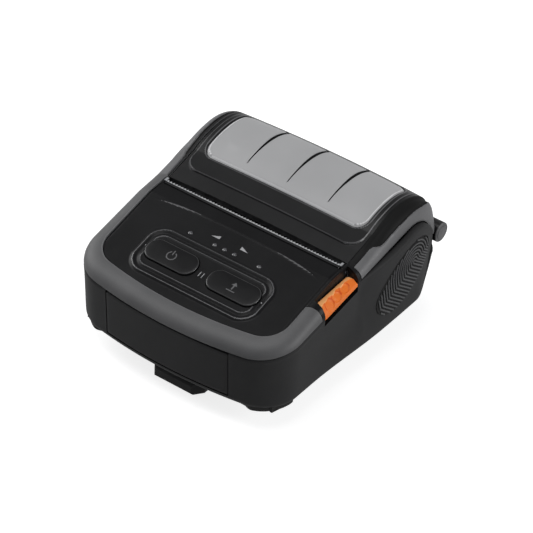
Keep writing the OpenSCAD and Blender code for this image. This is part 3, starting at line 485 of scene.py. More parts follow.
# ---- lower case: a tub with side bulges, a battery mouth and pockets for the ports and the release key
shellSize = {"draft": 1.0, "bottomR": 3.5, "rearR": 9.0, "rearArc": 15.5, "straight": 60, "mouth": (-29, 29, -5, 9, 13.2, 60),
             "port": (-51, -47.4, 14, 40, 17.5, 28.5), "usb": (-51, -41, 28.7, 37.3, 21.1, 24.9), "jack": (0, 21, 23),
             "shelf": (44.1, 47.5, 47.4, 54.8, 37.1, 39.1), "lugFoot": (105.9, 110.3, 27.4, 33.5),
             "lug": [(41.2, 1.5), (41.2, 3.95), (41.35, 4.1), (45.4, 4.1), (45.4, 1.5)],
             "lip": [(0, -1.2), (0.04, -0.85), (0.16, -0.5), (0.36, -0.22), (0.62, -0.05), (0.9, 0), (1.7, 0), (1.93, -0.1),
                     (2, -0.4)]}


def caseRing(inset, height):
    r, hw, length = shellSize["rearR"], bench["half"], bench["length"]
    arc, start = shellSize["rearArc"], shellSize["straight"]
    front = caseOutline(inset, length - r, 70, 16, 10, 1.6)
    corner = np.array([(hw - r + (r - inset) * cos(radians(9 * i)), length - r + (r - inset) * sin(radians(9 * i)))
                       for i in range(1, 10)])
    plan = np.concatenate([front, corner * (-1, 1), [(0, length - inset)], corner[::-1]])
    z = height(plan[:, 1])
    rear = length - arc + np.sqrt(arc ** 2 - np.clip(bench["floor"] + arc - z, 0, arc) ** 2)
    y = np.where(plan[:, 1] < start, plan[:, 1], start + (plan[:, 1] - start) * (rear - start) / (length - start))
    share = np.maximum(0, np.abs(plan[:, 0]) - hw + r) / r
    return np.column_stack([plan[:, 0] + np.sign(plan[:, 0]) * share * earX(y, z), y, z])


def screwBore(x, y, start, seat, top, look):
    head, hole = 2.8, 1.3
    return upright("bore", [(start, 0), (start, head), (seat, head), (seat, hole), (top, hole), (top, 0)], look, x, y)


def caseShell():
    g = shellSize
    floor, r = bench["floor"], g["bottomR"]
    low = floor + r
    rings = [caseRing(g["draft"] + r * (1 - sin(a)), lambda y, a=a: floor + r * (1 - cos(a)) + 0 * y)
             for a in np.linspace(0, pi / 2, 10)]
    rings += [caseRing(g["draft"] * (1 - t), lambda y, t=t: low + (seamZ(y) - low) * t) for t in np.linspace(0.06, 0.94, 16)]
    rings += [caseRing(i, lambda y, d=d: seamZ(y) + d) for i, d in g["lip"]]
    rings += [caseRing(2, lambda y: seamZ(y) - 1.2), caseRing(2.5, lambda y: (low + seamZ(y)) / 2),
              caseRing(3, lambda y: low + 2 + 0 * y), caseRing(5, lambda y: floor + 2 + 0 * y)]
    shell = loft("caseShell", rings, "case recess", 28)
    y0, y1 = keyPocket
    pocket = [(y, seamZ(y) + z) for y, z in ((y0, -3.6), (y1, -3.6), (y1, 9), (y0, 9))]
    cuts = [boxPiece("mouthCut", *g["mouth"], "recess"), crossPrism("keyCut", pocket, 45, 51, "recess"),
            boxPiece("portCut", *g["port"], "recess"),
            lathe("jackCut", [(-51, 0), (-51, 3.8), (-41, 3.8), (-41, 0)], "recess", at=g["jack"]),
            boxPiece("usbCut", *g["usb"], "recess")]
    cuts += [screwBore(x, y, 9, 11.1, 21, "case") for x, y in caseScrewAt]
    cuts += [upright("clipCut", [(9, 0), (9, 1.3), (15, 1.3), (15, 0)], "case", x, y) for x, y in clipScrewAt]
    cuts += [gripBlock("gripCut", side, 0, -0.7, 9, "recess") for side in (1, -1)]
    carve(shell, *cuts, angle=28)
    extras = [upright("boss", [(11.4, 1.3), (11.4, 3.4), (18, 3.4), (18, 1.3)], "case", x, y) for x, y in caseScrewAt[:2]]
    for side in (1, -1):
        lug = [(x * side, r) for x, r in g["lug"]]
        extras += [lathe("lug", lug, "case", 48, hingeAt),
                   boxPiece("lugFoot", *sorted((lug[0][0], lug[-1][0])), *g["lugFoot"], "case")]
    extras.append(boxPiece("springShelf", *g["shelf"], "case"))
    return dress(joined("caseShell", [shell] + extras, 28), "lower_case")


gripSize = {"centreY": 82.8, "centreZ": 32.4, "a": 17.8, "b": 11.6, "pitch": 1.38, "rib": 0.37, "spine": 32.5, "arm": 71.5,
            "top": 6.4, "shift": 0.8, "archEnd": 10.0, "loops": 24, "margin": 0.7}


def gripBlock(name, side, inset, low, high, look):
    g = gripSize
    around = np.linspace(0, 2 * pi, 96, endpoint=False)
    c, s = cos(radians(g["spine"])), sin(radians(g["spine"]))
    shares = np.linspace(0.02, 1, 14)
    rings = []
    for level, k in [(low, k) for k in shares] + [(high, k) for k in np.linspace(1, 0.02, 14)]:
        u, v = (g["a"] - inset) * k * np.cos(around), (g["b"] - inset) * k * np.sin(around)
        y, z = g["centreY"] + u * c - v * s, g["centreZ"] + u * s + v * c
        rings.append(np.column_stack([side * (ballX(y, z) + level), y, z]))
    return loft(name, rings, look)


def ribLines(side):
    # nested loops: two straight arms meet on a tilted spine, and the left one closes over in an arch
    g = gripSize
    spine, arm, margin = radians(g["spine"]), radians(g["arm"]), g["margin"]
    along, over = np.array([cos(spine), sin(spine)]), np.array([-sin(spine), cos(spine)])
    centre = np.array([g["centreY"], g["centreZ"]]) + g["top"] * along + g["shift"] * over
    rightArm = np.array([cos(spine - arm), sin(spine - arm)])
    arcs = np.linspace(spine + arm + pi / 2, radians(g["archEnd"]), 30)
    points, edges = [], []
    for k in range(g["loops"]):
        radius = (k + 0.5) * g["pitch"]
        apex = centre - along * radius / sin(arm)
        arch = [centre + radius * np.array([cos(a), sin(a)]) for a in arcs]
        loop = [apex + rightArm * 40, apex] + arch + [arch[-1] + rightArm * 40]
        run = []
        for p0, p1 in zip(loop[:-1], loop[1:]):
            for f in np.linspace(0, 1, max(2, int(np.linalg.norm(p1 - p0) / 0.45)))[:-1]:
                y, z = p0 + (p1 - p0) * f
                off = np.array([y - g["centreY"], z - g["centreZ"]])
                inside = (off @ along / (g["a"] - margin)) ** 2 + (off @ over / (g["b"] - margin)) ** 2 < 1
                if inside:
                    run.append((side * (float(ballX(y, z)) - 0.3), y, z))
                elif run:
                    if len(run) > 2:
                        edges += [(len(points) + i, len(points) + i + 1) for i in range(len(run) - 1)]
                        points += run
                    run = []
    return points, edges


# ---- Geometry Nodes trees
socketKinds = ((int, "Int"), (tuple, "Vector"), (bpy.types.Material, "Material"), (bpy.types.Object, "Object"),
               (float, "Float"))


class Graph:
    def __init__(self, name, **numbers):
        self.tree, self.values = bpy.data.node_groups.new(name, "GeometryNodeTree"), numbers
        face = self.tree.interface
        face.new_socket("Geometry", in_out="INPUT", socket_type="NodeSocketGeometry")
        for key, value in numbers.items():
            kind = next(word for sort, word in socketKinds if isinstance(value, sort))
            face.new_socket(key, in_out="INPUT", socket_type="NodeSocket" + kind)
        face.new_socket("Geometry", in_out="OUTPUT", socket_type="NodeSocketGeometry")
        self.given = self.tree.nodes.new("NodeGroupInput").outputs

    def node(self, kind, inputs, out=0, **settings):
        return addNode(self.tree, "GeometryNode" + kind, inputs, settings).outputs[out]

    def close(self, geometry):
        whole = self.node("RealizeInstances", {"Geometry": geometry})
        ready = self.node("SetMaterial", {"Geometry": whole, "Material": self.given["Finish"]})
        self.tree.links.new(ready, self.tree.nodes.new("NodeGroupOutput").inputs[0])
        return self

    def tubed(self, line, radius, corners):
        # a round wire along a line
        section = self.node("CurvePrimitiveCircle", {"Resolution": corners, "Radius": self.given[radius]}, mode="RADIUS")
        return self.close(self.node("CurveToMesh", {"Curve": line, "Profile Curve": section, "Fill Caps": True}))

    def run(self, name, points=((0, 0, 0),), edges=(), faces=(), angle=40, **changes):
        mesh = bpy.data.meshes.new(name)
        mesh.from_pydata(toRow(points).tolist() if len(points) else [], list(edges), list(faces))
        piece = newPiece(name, mesh)
        step = piece.modifiers.new("build", "NODES")
        step.node_group = self.tree
        for item in self.tree.interface.items_tree:
            if item.in_out == "INPUT" and item.name in self.values:
                step[item.identifier] = changes.get(item.name, self.values[item.name])
        return flattened(piece, angle)


def ribGraph():
    g = Graph("ribs", RibRadius=0.0004, Finish=finish["grip"])
    return g.tubed(g.node("MeshToCurve", {"Mesh": g.given["Geometry"]}), "RibRadius", 8)


def coilGraph():
    g = Graph("coil", Turns=5.0, Radius=0.002, Height=0.005, Wire=0.0003, Finish=finish["spring"])
    spiral = {"Resolution": 28, "Rotations": g.given["Turns"], "Start Radius": g.given["Radius"],
              "End Radius": g.given["Radius"], "Height": g.given["Height"], "Reverse": False}
    return g.tubed(g.node("CurveSpiral", spiral), "Wire", 10)


def rowGraph():
    # repeats the given shape along a straight row
    g = Graph("row", Count=10, Step=(0.001, 0.0, 0.0), Finish=finish["teeth"])
    row = g.node("MeshLine", {"Count": g.given["Count"], "Offset": g.given["Step"]}, mode="OFFSET")
    return g.close(g.node("InstanceOnPoints", {"Points": row, "Instance": g.given["Geometry"]}))


def spreadGraph(look, sample):
    # sets one sample piece on every given point
    g = Graph("spread", Sample=sample, Finish=finish[look])
    shape = g.node("ObjectInfo", {"Object": g.given["Sample"]}, 4, transform_space="ORIGINAL")
    spots = g.node("MeshToPoints", {"Mesh": g.given["Geometry"]})
    return g.close(g.node("InstanceOnPoints", {"Points": spots, "Instance": shape}))


def sideGrips():
    ribs, parts = ribGraph(), []
    for side in (1, -1):
        # the pad under the ribs is near-black, as painted shade in the grooves between them
        parts.append(gripBlock("gripPad", side, 0.15, -0.68, -0.5, "gripPad"))
        parts.append(ribs.run("gripRibs", *ribLines(side), angle=60, RibRadius=gripSize["rib"] / 1000))
    return dress(joined("sideGrips", parts, 50), "side_grips")


caseShell()
sideGrips()
print("case and grips done")

# ---- bezel: a quarter-round band with a fine standing edge round the panel
bezelSize = {"wall": 2.0, "half": 42.6, "front": 7.8, "corner": 10.5, "back": 56.6, "slit": 0.22, "sideLow": 44.2,
             "end": [(42.0, 29.8), (43.2, 30.9), (44.6, 31.6), (47.0, 32.3), (51.0, 33.2)],
             "walls": [(43.2, 43.62, 34.3, 53.8), (43.2, 48.6, 34.1, 34.52), (44.1, 48.6, 55.08, 55.5)]}


def bezelBand():
    g = bezelSize
    outer = caseOutline(0, g["back"], 36, 26, 14)
    inner = rimOutline(g["half"], g["front"], g["corner"], bench["bow"] - g["front"], g["back"], 36, 26, 14)
    reach = np.linalg.norm(inner - outer, axis=1)
    base, high = seamZ(outer[:, 1]), panelZ(inner[:, 1])

    def at(angle, inset, lift=0.0, shift=0.0):
        f, share = 1 - cos(angle), inset / reach
        move = share + f * (1 - share) + shift / reach
        xy = outer + (inner - outer) * move[:, None]
        return np.column_stack([xy, base + (high - base - inset) * sin(angle) + bench["gap"] + lift])
    turns, top = np.linspace(0, pi / 2, 26), pi / 2
    section = [at(0, 0.45, 0.0), at(0, 0.12, 0.02), at(0, 0, 0.22)] + [at(a, 0) for a in turns[1:-1]]
    section += [at(top, *rest) for rest in ((0, 0.0, -0.55), (0, 0.1, -0.3), (0, 0.06, -0.08), (0, -0.15), (0, -1.7))]
    section += [at(a, g["wall"]) for a in turns[::-1][1:]]
    band = loft("bezelBand", list(np.stack(section, axis=1)), "bezel recess panel", 30)
    end = np.array(g["end"])
    slit = prism("slit", list(end) + [(x, y + g["slit"]) for x, y in end[::-1]], 20, 70, "recess")
    carve(band, slit, boxPiece("notch", 43.6, 51, *keyPocket, 0, 100, "recess"), angle=30)
    for face in band.data.polygons:     # behind the band's blunt end the surround of the release key is black
        x, y = face.center.x * 1000, face.center.y * 1000 + bench["front"]
        if x > 40 and y > np.interp(x, end[:, 0], end[:, 1]) + 0.1:
            face.material_index = 2
    walls = []
    for k, (x0, x1, y0, y1) in enumerate(g["walls"]):
        low, high = [], []
        for x, y in ((x0, y0), (x1, y0), (x1, y1), (x0, y1)):
            rim, out = float(seamZ(y)), (x - g["half"]) / 6.4
            top = rim + 0.3 + (float(panelZ(y)) - rim - 0.4) * sqrt(max(0.0, 1 - out ** 2))
            low.append((x, y, max(rim + 0.35, 0 if k else g["sideLow"])))
            high.append((x, y, max(top - 0.25, rim + 0.6)))
        walls.append(loft("wall", [np.array(low), np.array(high)], "panel"))
    return dress(joined("bezelBand", [band] + walls, 30), "top_bezel")


# ---- key panel: sloped plate, raised island with a moulded rim, faint swoosh at the crease; the rim's ridges and the crease carry painted highlight lines
panelSize = {"thick": 2.2, "islandW": 59.5, "islandD": 23.4, "islandR": 8.0, "islandY": 23.5, "ridge": 0.62, "valley": 0.12,
             "plateau": 0.42, "keyW": 23.2, "keyD": 10.0, "keyY": 23.9, "pitch": 29.2, "lampY": 37.0,
             "lampX": (-16.2, -4.6, 0, 4.6, 16.2), "lampHole": (1.9, 1.9, 0.949, 6), "postDrop": 1.2,
             "plan": (42.3, 8.1, 10.2, 198.2, 52.3), "rimAt": [-0.2, 0, 0.5, 1.0, 1.5, 2.4, 2.9, 3.5, 4.0, 4.6, 6]}
slope = atan(panelLine["front"])


def islandDistance(x, y):
    g = panelSize
    return rectDistance(x, (y - g["islandY"]) / cos(slope), g["islandW"], g["islandD"], g["islandR"])


def islandLift(x, y):
    ridge, low, high = panelSize["ridge"], panelSize["valley"], panelSize["plateau"]
    rises = [0, 0.02, 0.36, ridge, ridge * 0.9, low, low, 0.46, 0.56, high, high]
    return np.interp(islandDistance(x, y), panelSize["rimAt"], rises)


def creaseLine(x):
    return 46.2 - 2.6 * (np.abs(x) / 38) ** 3


def panelTop(x, y):
    swoosh = 0.16 * np.exp(-((y - creaseLine(x)) / 0.28) ** 2) * ease((39 - np.abs(x)) / 6)
    rim = -0.25 * ease((0.9 - (42.3 - np.abs(x))) / 0.9)
    return panelZ(y) + islandLift(x, y) + swoosh + rim


def onPanel(name, sections, y0, look, angle=32, index=None):
    # outlines drawn flat on the panel, y along the slope from y0, each with its height off it
    z0, c, s = float(panelZ(y0)), cos(slope), sin(slope)
    rings = [np.array([(x, y0 + y * c - z * s, z0 + y * s + z * c) for x, y in outline]) for outline, z in sections]
    return loft(name, rings, look, angle, index)


def slab(name, outline, low, high, y0, look):
    return onPanel(name, [(outline, low), (outline, high)], y0, look)


def keyPanel():
    g = panelSize
    gx, gy = np.meshgrid(np.linspace(-43, 43, 287), np.linspace(6.5, 53.0, 180))
    mx, my = (gx[:-1, :-1] + gx[1:, 1:]) / 2, (gy[:-1, :-1] + gy[1:, 1:]) / 2
    d = islandDistance(mx, my)
    line = np.abs(my - creaseLine(mx)) - 0.34 * ease((39 - np.abs(mx)) / 12) * ease((np.abs(mx) - 13) / 16)
    # thin lines along the island's two ridges and the crease take the lighter edge finish as a painted highlight
    paintedHighlightFaces = (np.abs(d - 0.95) < 0.2) | (np.abs(d - 3.95) < 0.17) | (line < -0.02)
    plate = shellOfGrids("keyPanel", np.dstack([gx, gy, panelTop(gx, gy)]), np.dstack([gx, gy, panelZ(gy) - g["thick"]]),
                         "panel edge recess", 24, paintedHighlightFaces.astype(int).ravel())
    carve(plate, prism("outline", rimOutline(*g["plan"], 4, 24, 14), 20, 70, "panel"),
          mode="INTERSECT", angle=24)
    holes = [(g["keyW"] + 0.6, g["keyD"] + 0.6, 4.9, 12, (side * g["pitch"] / 2, 0)) for side in (-1, 1)]
    cuts = [slab("keyHole", roundedRect(*hole), -5, 4, g["keyY"], "recess") for hole in holes]
    cuts += [slab("lampHole", roundedRect(*g["lampHole"], (x, 0)), -5, 4, g["lampY"], "recess") for x in g["lampX"]]
    carve(plate, *cuts, angle=24)
    posts = []
    for x, y in caseScrewAt[:2]:
        top = float(panelZ(y)) - g["postDrop"]
        posts.append(upright("post", [(18, 1.3), (18, 3), (top, 3), (top, 1.3)], "panel", x, y))
    for x in (31, -31):
        posts.append(slab("standoff", roundedRect(4.4, 4.4, 2.19, 6, (x, -7.5)), -5.2, -1.2, g["keyY"], "panel"))
    return dress(joined("keyPanel", [plate] + posts, 24), "control_panel")


def pressKey(name, side, node, symbol):
    g = panelSize
    cx, w, d = side * g["pitch"] / 2, g["keyW"], g["keyD"]
    plans = [(roundedRect(w - 2 * inset, d - 2 * inset, 4.6 - inset, 14, (cx, 0)), z) for inset, z in
             ((0.15, -2.0), (0, -1.8), (0, 0.75), (0.05, 0.98), (0.2, 1.16), (0.42, 1.26), (0.8, 1.31))]
    for k in (0.8, 0.55, 0.3, 0.08):
        ring = [(cx + (x - cx) * k, y * k) for x, y in roundedRect(w - 1.6, d - 1.6, 3.8, 14, (cx, 0))]
        plans.append((ring, 1.31 + 0.22 * (1 - k * k)))
    # the two bands rounding the top's edge take a lighter black as a painted highlight
    bevel = [int(3 <= i <= 4) for i in range(len(plans) - 1) for _ in plans[0][0]] + [0, 0]
    parts = [onPanel(name, plans, g["keyY"], "key keyEdge", 40, bevel),
             slab("stem", roundedRect(3.4, 3.4, 1.69, 8, (cx, 0)), -3.0, -1.9, g["keyY"], "key")]
    parts += [slab("mark", [(cx + x, y) for x, y in outline], 1.35, 1.6, g["keyY"], "faint") for outline in symbol]
    return dress(joined(name, parts, 40), node)


def arcStrip(r, width, a0, a1):
    turns = [radians(a0 + (a1 - a0) * i / 20) for i in range(21)]
    outer, inner = ([(q * cos(a), q * sin(a)) for a in turns] for q in (r + width / 2, r - width / 2))
    return outer + inner[::-1]


def flatBox(x0, x1, y0, y1):
    return [(x0, y0), (x1, y0), (x1, y1), (x0, y1)]


def panelMarks():
    # plain guide marks: ticks between the keys, a dot at each outer end, wedges beside the middle lamps
    flats = [(flatBox(-0.9, -0.6, -1.2, 1.2), 23.0), (flatBox(0.6, 0.9, -1.2, 1.2), 23.0)]
    turns = np.linspace(0, 2 * pi, 12, endpoint=False)
    flats += [([(x + 0.28 * cos(a), 0.28 * sin(a)) for a in turns], 23.9) for x in (-27.4, 27.4)]
    flats += [([(side * x, y) for x, y in ((8.6, -0.35), (4.9, 1.15), (4.9, -0.35))][::-side], 40.4) for side in (-1, 1)]
    marks = []
    for outline, y0 in flats:
        lift = float(islandLift(outline[0][0], y0))
        marks.append(slab("mark", outline, lift - 0.1, lift + 0.035, y0, "print"))
    piece = joined("panelMarks", marks)
    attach(piece, "base")
    return piece


def lampLenses():
    g = panelSize
    profile = [(-2.2, 0), (-2.2, 1.4), (-1.9, 1.4), (-1.9, 0.9), (0.05, 0.9), (0.2, 0.82), (0.32, 0.6), (0.38, 0.3), (0.4, 0)]
    sample = upright("lampSample", profile, "lens", 0, 0, 28)
    sample.data.transform(Matrix.Translation((0, bench["front"] / 1000, 0)))
    sample.data.transform(Matrix.Rotation(slope, 4, "X"))
    spots = [(x, g["lampY"], float(panelZ(g["lampY"]))) for x in g["lampX"]]
    lenses = spreadGraph("lens", sample).run("lampLenses", spots, angle=50)
    bpy.data.objects.remove(sample)
    return dress(lenses, "indicator_lenses")


bezelBand()
keyPanel()
powerSign = [arcStrip(1.9, 0.42, 118, 422), flatBox(-0.21, 0.21, 0.4, 2.6)]
feedSign = [flatBox(-0.28, 0.28, -1.4, 0.6), [(-1.25, 0.6), (1.25, 0.6), (0, 2.1)], flatBox(-1.9, 1.9, -2.3, -1.9)]
pressKey("powerKey", -1, "power_button", powerSign)
pressKey("feedKey", 1, "feed_button", feedSign)
panelMarks()
lampLenses()
print("bezel and panel done")

# ---- lid: domed frame with a stepped border, frosted window and two cheeks
lidSize = {"half": 42.5, "thick": 2.2, "crown": 1.0, "frontY": 57.1, "stepHalf": 40.8, "stepR": 6.0,
           "sideStep": 0.38, "low": 39, "windowW": 76.0, "windowY0": 71.7, "windowY1": 103.0, "windowR": 5.0,
           "grooves": (-19.2, 0.0, 19.2), "barrel": [(-35, 1.55), (-35, 3.2), (-40.9, 3.2), (-40.9, 3.85), (-40.65, 4.1)]}
# centre y and z, radius, first and last tilt, steps
domeArcs = [(90.0, 20.3, 39.0, -27.5, 0.0, 26), (90.0, 35.3, 24.0, 0.0, 38.0, 20),
            (90 + 13 * sin(radians(38)), 35.3 + 13 * cos(radians(38)), 11.0, 38.0, 80.0, 18)]


def lidPath():
    # rows of y, z, tilt in degrees, share of the straight front
    y0, z0 = lidSize["frontY"], float(panelZ(bezelSize["back"])) + 0.45
    cy, cz, r, bend = domeArcs[0][:4]
    kneeY, kneeZ = cy + r * sin(radians(bend)), cz + r * cos(radians(bend))
    rows = [(y0 + f * (kneeY - y0), z0 + f * (kneeZ - z0), bend * f, f) for f in np.linspace(0, 1, 60)]
    for cy, cz, r, a0, a1, n in domeArcs:
        for i in range(1, n + 1):
            a = a0 + (a1 - a0) * i / n
            rows.append((cy + r * sin(radians(a)), cz + r * cos(radians(a)), a, 2.0))
    y, z, a, _ = rows[-1]
    run = (z - lidSize["low"]) / sin(radians(a))
    rows += [(y + run * i / 6 * cos(radians(a)), z - run * i / 6 * sin(radians(a)), a, 2.0) for i in range(1, 7)]
    return np.array(rows)


def windowDistance(x, y):
    g = lidSize
    return rectDistance(x, y - (g["windowY0"] + g["windowY1"]) / 2, g["windowW"], g["windowY1"] - g["windowY0"], g["windowR"])


def stepDistance(x, rows):
    # distance inside the raised field of the lid's front and sides
    half, r = lidSize["stepHalf"], lidSize["stepR"]
    f, ax = rows[:, 3][:, None], np.abs(x)[None, :]
    s = np.where(f <= 1, (f - 0.44) * 15.55, 40.0)
    px, py = ax - (half - r), r - s
    corner = r - np.hypot(np.maximum(px, 0), np.maximum(py, 0))
    return np.where((px > 0) & (py > 0), corner, np.minimum(half - ax, s))


def lidLift(x, rows):
    # how far the frame's skin stands off the plain profile
    f, y, ax = rows[:, 3][:, None], rows[:, 0][:, None], np.abs(x)[None, :]
    drop, near = lidSize["sideStep"], -windowDistance(ax, y)
    inside = ease(stepDistance(x, rows) / 0.5 + 0.5)
    front = np.interp(np.minimum(f, 1.0), [0, 0.21, 0.42, 1], [0, -0.15, -0.3, -drop])
    raised = np.interp(np.minimum(f, 1.0), [0.4, 0.46, 0.73, 1], [0.62, 0.62, 0.3, 0])
    lift = np.where(f <= 1, front, -drop * ease((106 - y) / 8)) * (1 - inside) + raised * inside * (f <= 1)
    edge = -0.35 * ease((ax - 41.9) / 0.6) ** 2
    return lift + edge + -0.34 * ease(1 - near / 0.75) * (near > -3)


def lidGlint(x, rows):
    # which faces carry a painted highlight along the edge of the step and of the window's lip
    step, lip = middle(stepDistance(x, rows)), middle(-windowDistance(np.abs(x)[None, :], rows[:, 0][:, None]))
    return ((np.abs(step - 0.15) < 0.22) | (np.abs(lip - 0.85) < 0.2)).astype(int)


def lidSkin(x, rows, d):
    # x across, rows down the profile, d off the skin
    x = np.broadcast_to(np.atleast_2d(x), d.shape)
    d = d - lidSize["crown"] * (x / lidSize["half"]) ** 2
    tilt = np.radians(rows[:, 2])[:, None]
    return np.dstack([x, rows[:, 0][:, None] + d * np.sin(tilt), rows[:, 1][:, None] + d * np.cos(tilt)])


def windowPrism(name, inset, look):
    y0, y1 = lidSize["windowY0"], lidSize["windowY1"]
    plan = roundedRect(lidSize["windowW"] - 2 * inset, y1 - y0 - 2 * inset, lidSize["windowR"] - inset, 12, (0, (y0 + y1) / 2))
    return prism(name, plan, 25, 80, look)


def lidFrame():
    half, rows = lidSize["half"], lidPath()
    x = np.concatenate([np.linspace(-half, -36.9, 34), np.linspace(-36.5, 36.5, 76), np.linspace(36.9, half, 34)])
    lift = lidLift(x, rows)
    lid = shellOfGrids("lidFrame", lidSkin(x, rows, lift), lidSkin(x, rows, np.zeros_like(lift) - lidSize["thick"]),
                       "frame recess edge", 26, 2 * lidGlint(x, rows).ravel())
    wide = np.linspace(-41, 41, 24)
    blank = np.zeros((len(rows), len(wide)))
    pocket = shellOfGrids("pocket", lidSkin(wide, rows, blank + 2), lidSkin(wide, rows, blank - 1.5), "recess")
    carve(pocket, windowPrism("pocketPlan", 0, "recess"), mode="INTERSECT")
    carve(lid, windowPrism("opening", 1.4, "recess"), pocket, angle=26)
    barrel = lidSize["barrel"] + [(-h, r) for h, r in lidSize["barrel"][::-1]]
    return dress(joined("lidFrame", [lid, lathe("barrel", barrel, "frame", 72, hingeAt)], 26), "lid_frame")


def lidWindow():
    rows = lidPath()
    rows = rows[(rows[:, 0] > 69) & (rows[:, 0] < 106)]
    y = rows[:, 0][:, None]
    width = 0.22 + 0.48 * ease((y - 76) / 20)
    over = np.array([-2, -1.6, -1.4, -1.2, -1.0, -0.8, -0.4, 0.4, 0.8, 1.0, 1.2, 1.4, 1.6, 2])
    bands = [at + width * over[None, :] for at in lidSize["grooves"]]      # columns follow each groove's tapering sides
    ends = [np.full_like(y, -39)] + [b[:, e:][:, :1] for b in bands for e in (0, len(over) - 1)] + [np.full_like(y, 39)]
    parts = []
    for k in range(4):
        a, b = ends[2 * k], ends[2 * k + 1]
        spread = a + (b - a) * np.linspace(0, 1, 140 if k in (0, 3) else 30)[None, :]
        parts += [spread[:, (1 if k else 0):(-1 if k < 3 else None)]] + bands[k:k + 1]
    x = np.concatenate(parts, axis=1)
    cut = np.zeros_like(x)
    for at in lidSize["grooves"]:
        cut += ease(1.4 - np.abs(x - at) / width) * ease((y - 75.2) / 1.2)
    near = windowDistance(x, y)
    d = -0.15 - 0.6 * np.clip(cut, 0, 1) - 0.3 * ease(1 - near / 0.6) + 0.15 * np.exp(-((near - 0.9) / 0.4) ** 2)
    # the grooves take the near-black recess finish as painted shade, and a thin band on the lip round the border takes
    # the lighter window finish as a painted highlight
    index = np.where(middle(cut) > 0.45, 1, np.where(np.abs(middle(near) - 0.75) < 0.22, 2, 0)).ravel()
    pane = shellOfGrids("lidWindow", lidSkin(x, rows, d), lidSkin(x, rows, np.zeros_like(d) - 1.45),
                        "window recess windowEdge", 30, index)
    return dress(carve(pane, windowPrism("paneEdge", 0.15, "window"), mode="INTERSECT", angle=30), "lid_window")


cheekSize = {"inner": 42.6, "thick": 1.3, "scoop": 0.55, "fullness": 2.3, "groove": 0.35,
             "cuts": ((40.9, 60, 4.65, hingeAt), (0, 45.4, 6.11, gearAt)),
             "edge": [(57, 20), (66, 21), (67.7, 26), (68.6, 36), (69.8, 46), (72, 50), (79, 53), (86, 53.5), (92, 51.5),
                      (98, 47), (102, 40), (106, 24), (109, 12)]}


def seamDepth(y, z, tilt):
    # how far below a point of the lid's profile the seam lies
    n = np.array([sin(radians(tilt)), cos(radians(tilt))])
    q = np.array([y - seam["arcY"], z - earSeamZ])
    b = q @ n
    line = (z - seam["z"] - seam["rise"] * y) / (n[1] - seam["rise"] * n[0])
    if y < 89 and y - line * n[0] < arcStart:
        return line
    return b - sqrt(max(0, b * b - q @ q + seam["arcR"] ** 2))


def lidCheek(name, side, node):
    g = cheekSize
    rx, thick, full = bench["half"] - g["inner"], g["thick"], 2 / g["fullness"]
    angles = np.linspace(0, 90, 61)
    edge = np.array(g["edge"])
    rings, marks = [], []
    for y, z, tilt, f in lidPath():
        deep = seamDepth(y, z, tilt) - 1.4
        bound = np.interp(y, edge[:, 0], edge[:, 1]) * (1.0 if side > 0 else 0.3)
        section = []
        for a in angles:
            ra = radians(a)
            scoop = g["scoop"] * ease((bound - a) / 5) * ease((y - 64) / 5) * ease(a / 12)
            dent = scoop + g["groove"] * exp(-((a - bound) / 1.6) ** 2)
            d = -1 - deep * (1 - max(0.0, cos(ra)) ** full) - dent * cos(ra)
            section.append((g["inner"] + rx * sin(ra) ** full - dent * sin(ra) - 0.25 * ease((a - 86) / 4), d))
        for ra in np.radians(angles[::-1]):
            d = -1 - thick - 0.5 - (deep - thick - 0.5) * (1 - cos(ra))
            section.append((g["inner"] + (rx - thick) * sin(ra), d))
        rings.append(np.array([(side * x, y + d * sin(radians(tilt)), z + d * cos(radians(tilt))) for x, d in section]))
        # the band of the cheek above its crease takes the near-black recess finish as painted shade, wider on the right
        # cheek than on the left
        marks.append([int(a < bound - 0.7) for a in angles] + [0] * len(angles))
    cheek = loft(name, rings, "cheek recess", 30, sum(marks[:-1], []) + [0, 0])
    cuts = [lathe("turnCut", [(x0 * side, 0), (x0 * side, r), (x1 * side, r), (x1 * side, 0)], "recess", 48, at)
            for x0, x1, r, at in g["cuts"]]
    return dress(carve(cheek, *cuts, angle=30), node)


capSize = {"disc": 0.0492, "profile": [(45.4, 1.5), (45.4, 3.9), (45.6, 4.1), (49.2, 4.1), (49.5, 4.02), (49.72, 3.8),
           (49.8, 3.5), (49.66, 3.3), (49.66, 3.0), (49.9, 2.8), (49.98, 2.2), (50, 0.02), (47, 0.02), (47, 1.5)]}


def hingeCaps():
    caps = [lathe("cap", [(x * side, r) for x, r in capSize["profile"]], "frame bezel", 64, hingeAt) for side in (1, -1)]
    for cap in caps:
        for face in cap.data.polygons:
            face.material_index = int(abs(face.center.x) > capSize["disc"])
    return dress(joined("hingeCaps", caps, 30), "hinge_caps")


lidFrame()
lidWindow()
lidCheek("cheekRight", 1, "lid_cheek_right")
lidCheek("cheekLeft", -1, "lid_cheek_left")
hingeCaps()
print("lid done")

# ---- tear bar: saw teeth on a folded strip
tearSize = {"width": 82.0, "teeth": 60, "tip": 54.5, "root": 53.6, "rear": 52.4, "thick": 0.5, "flange": 4.0}


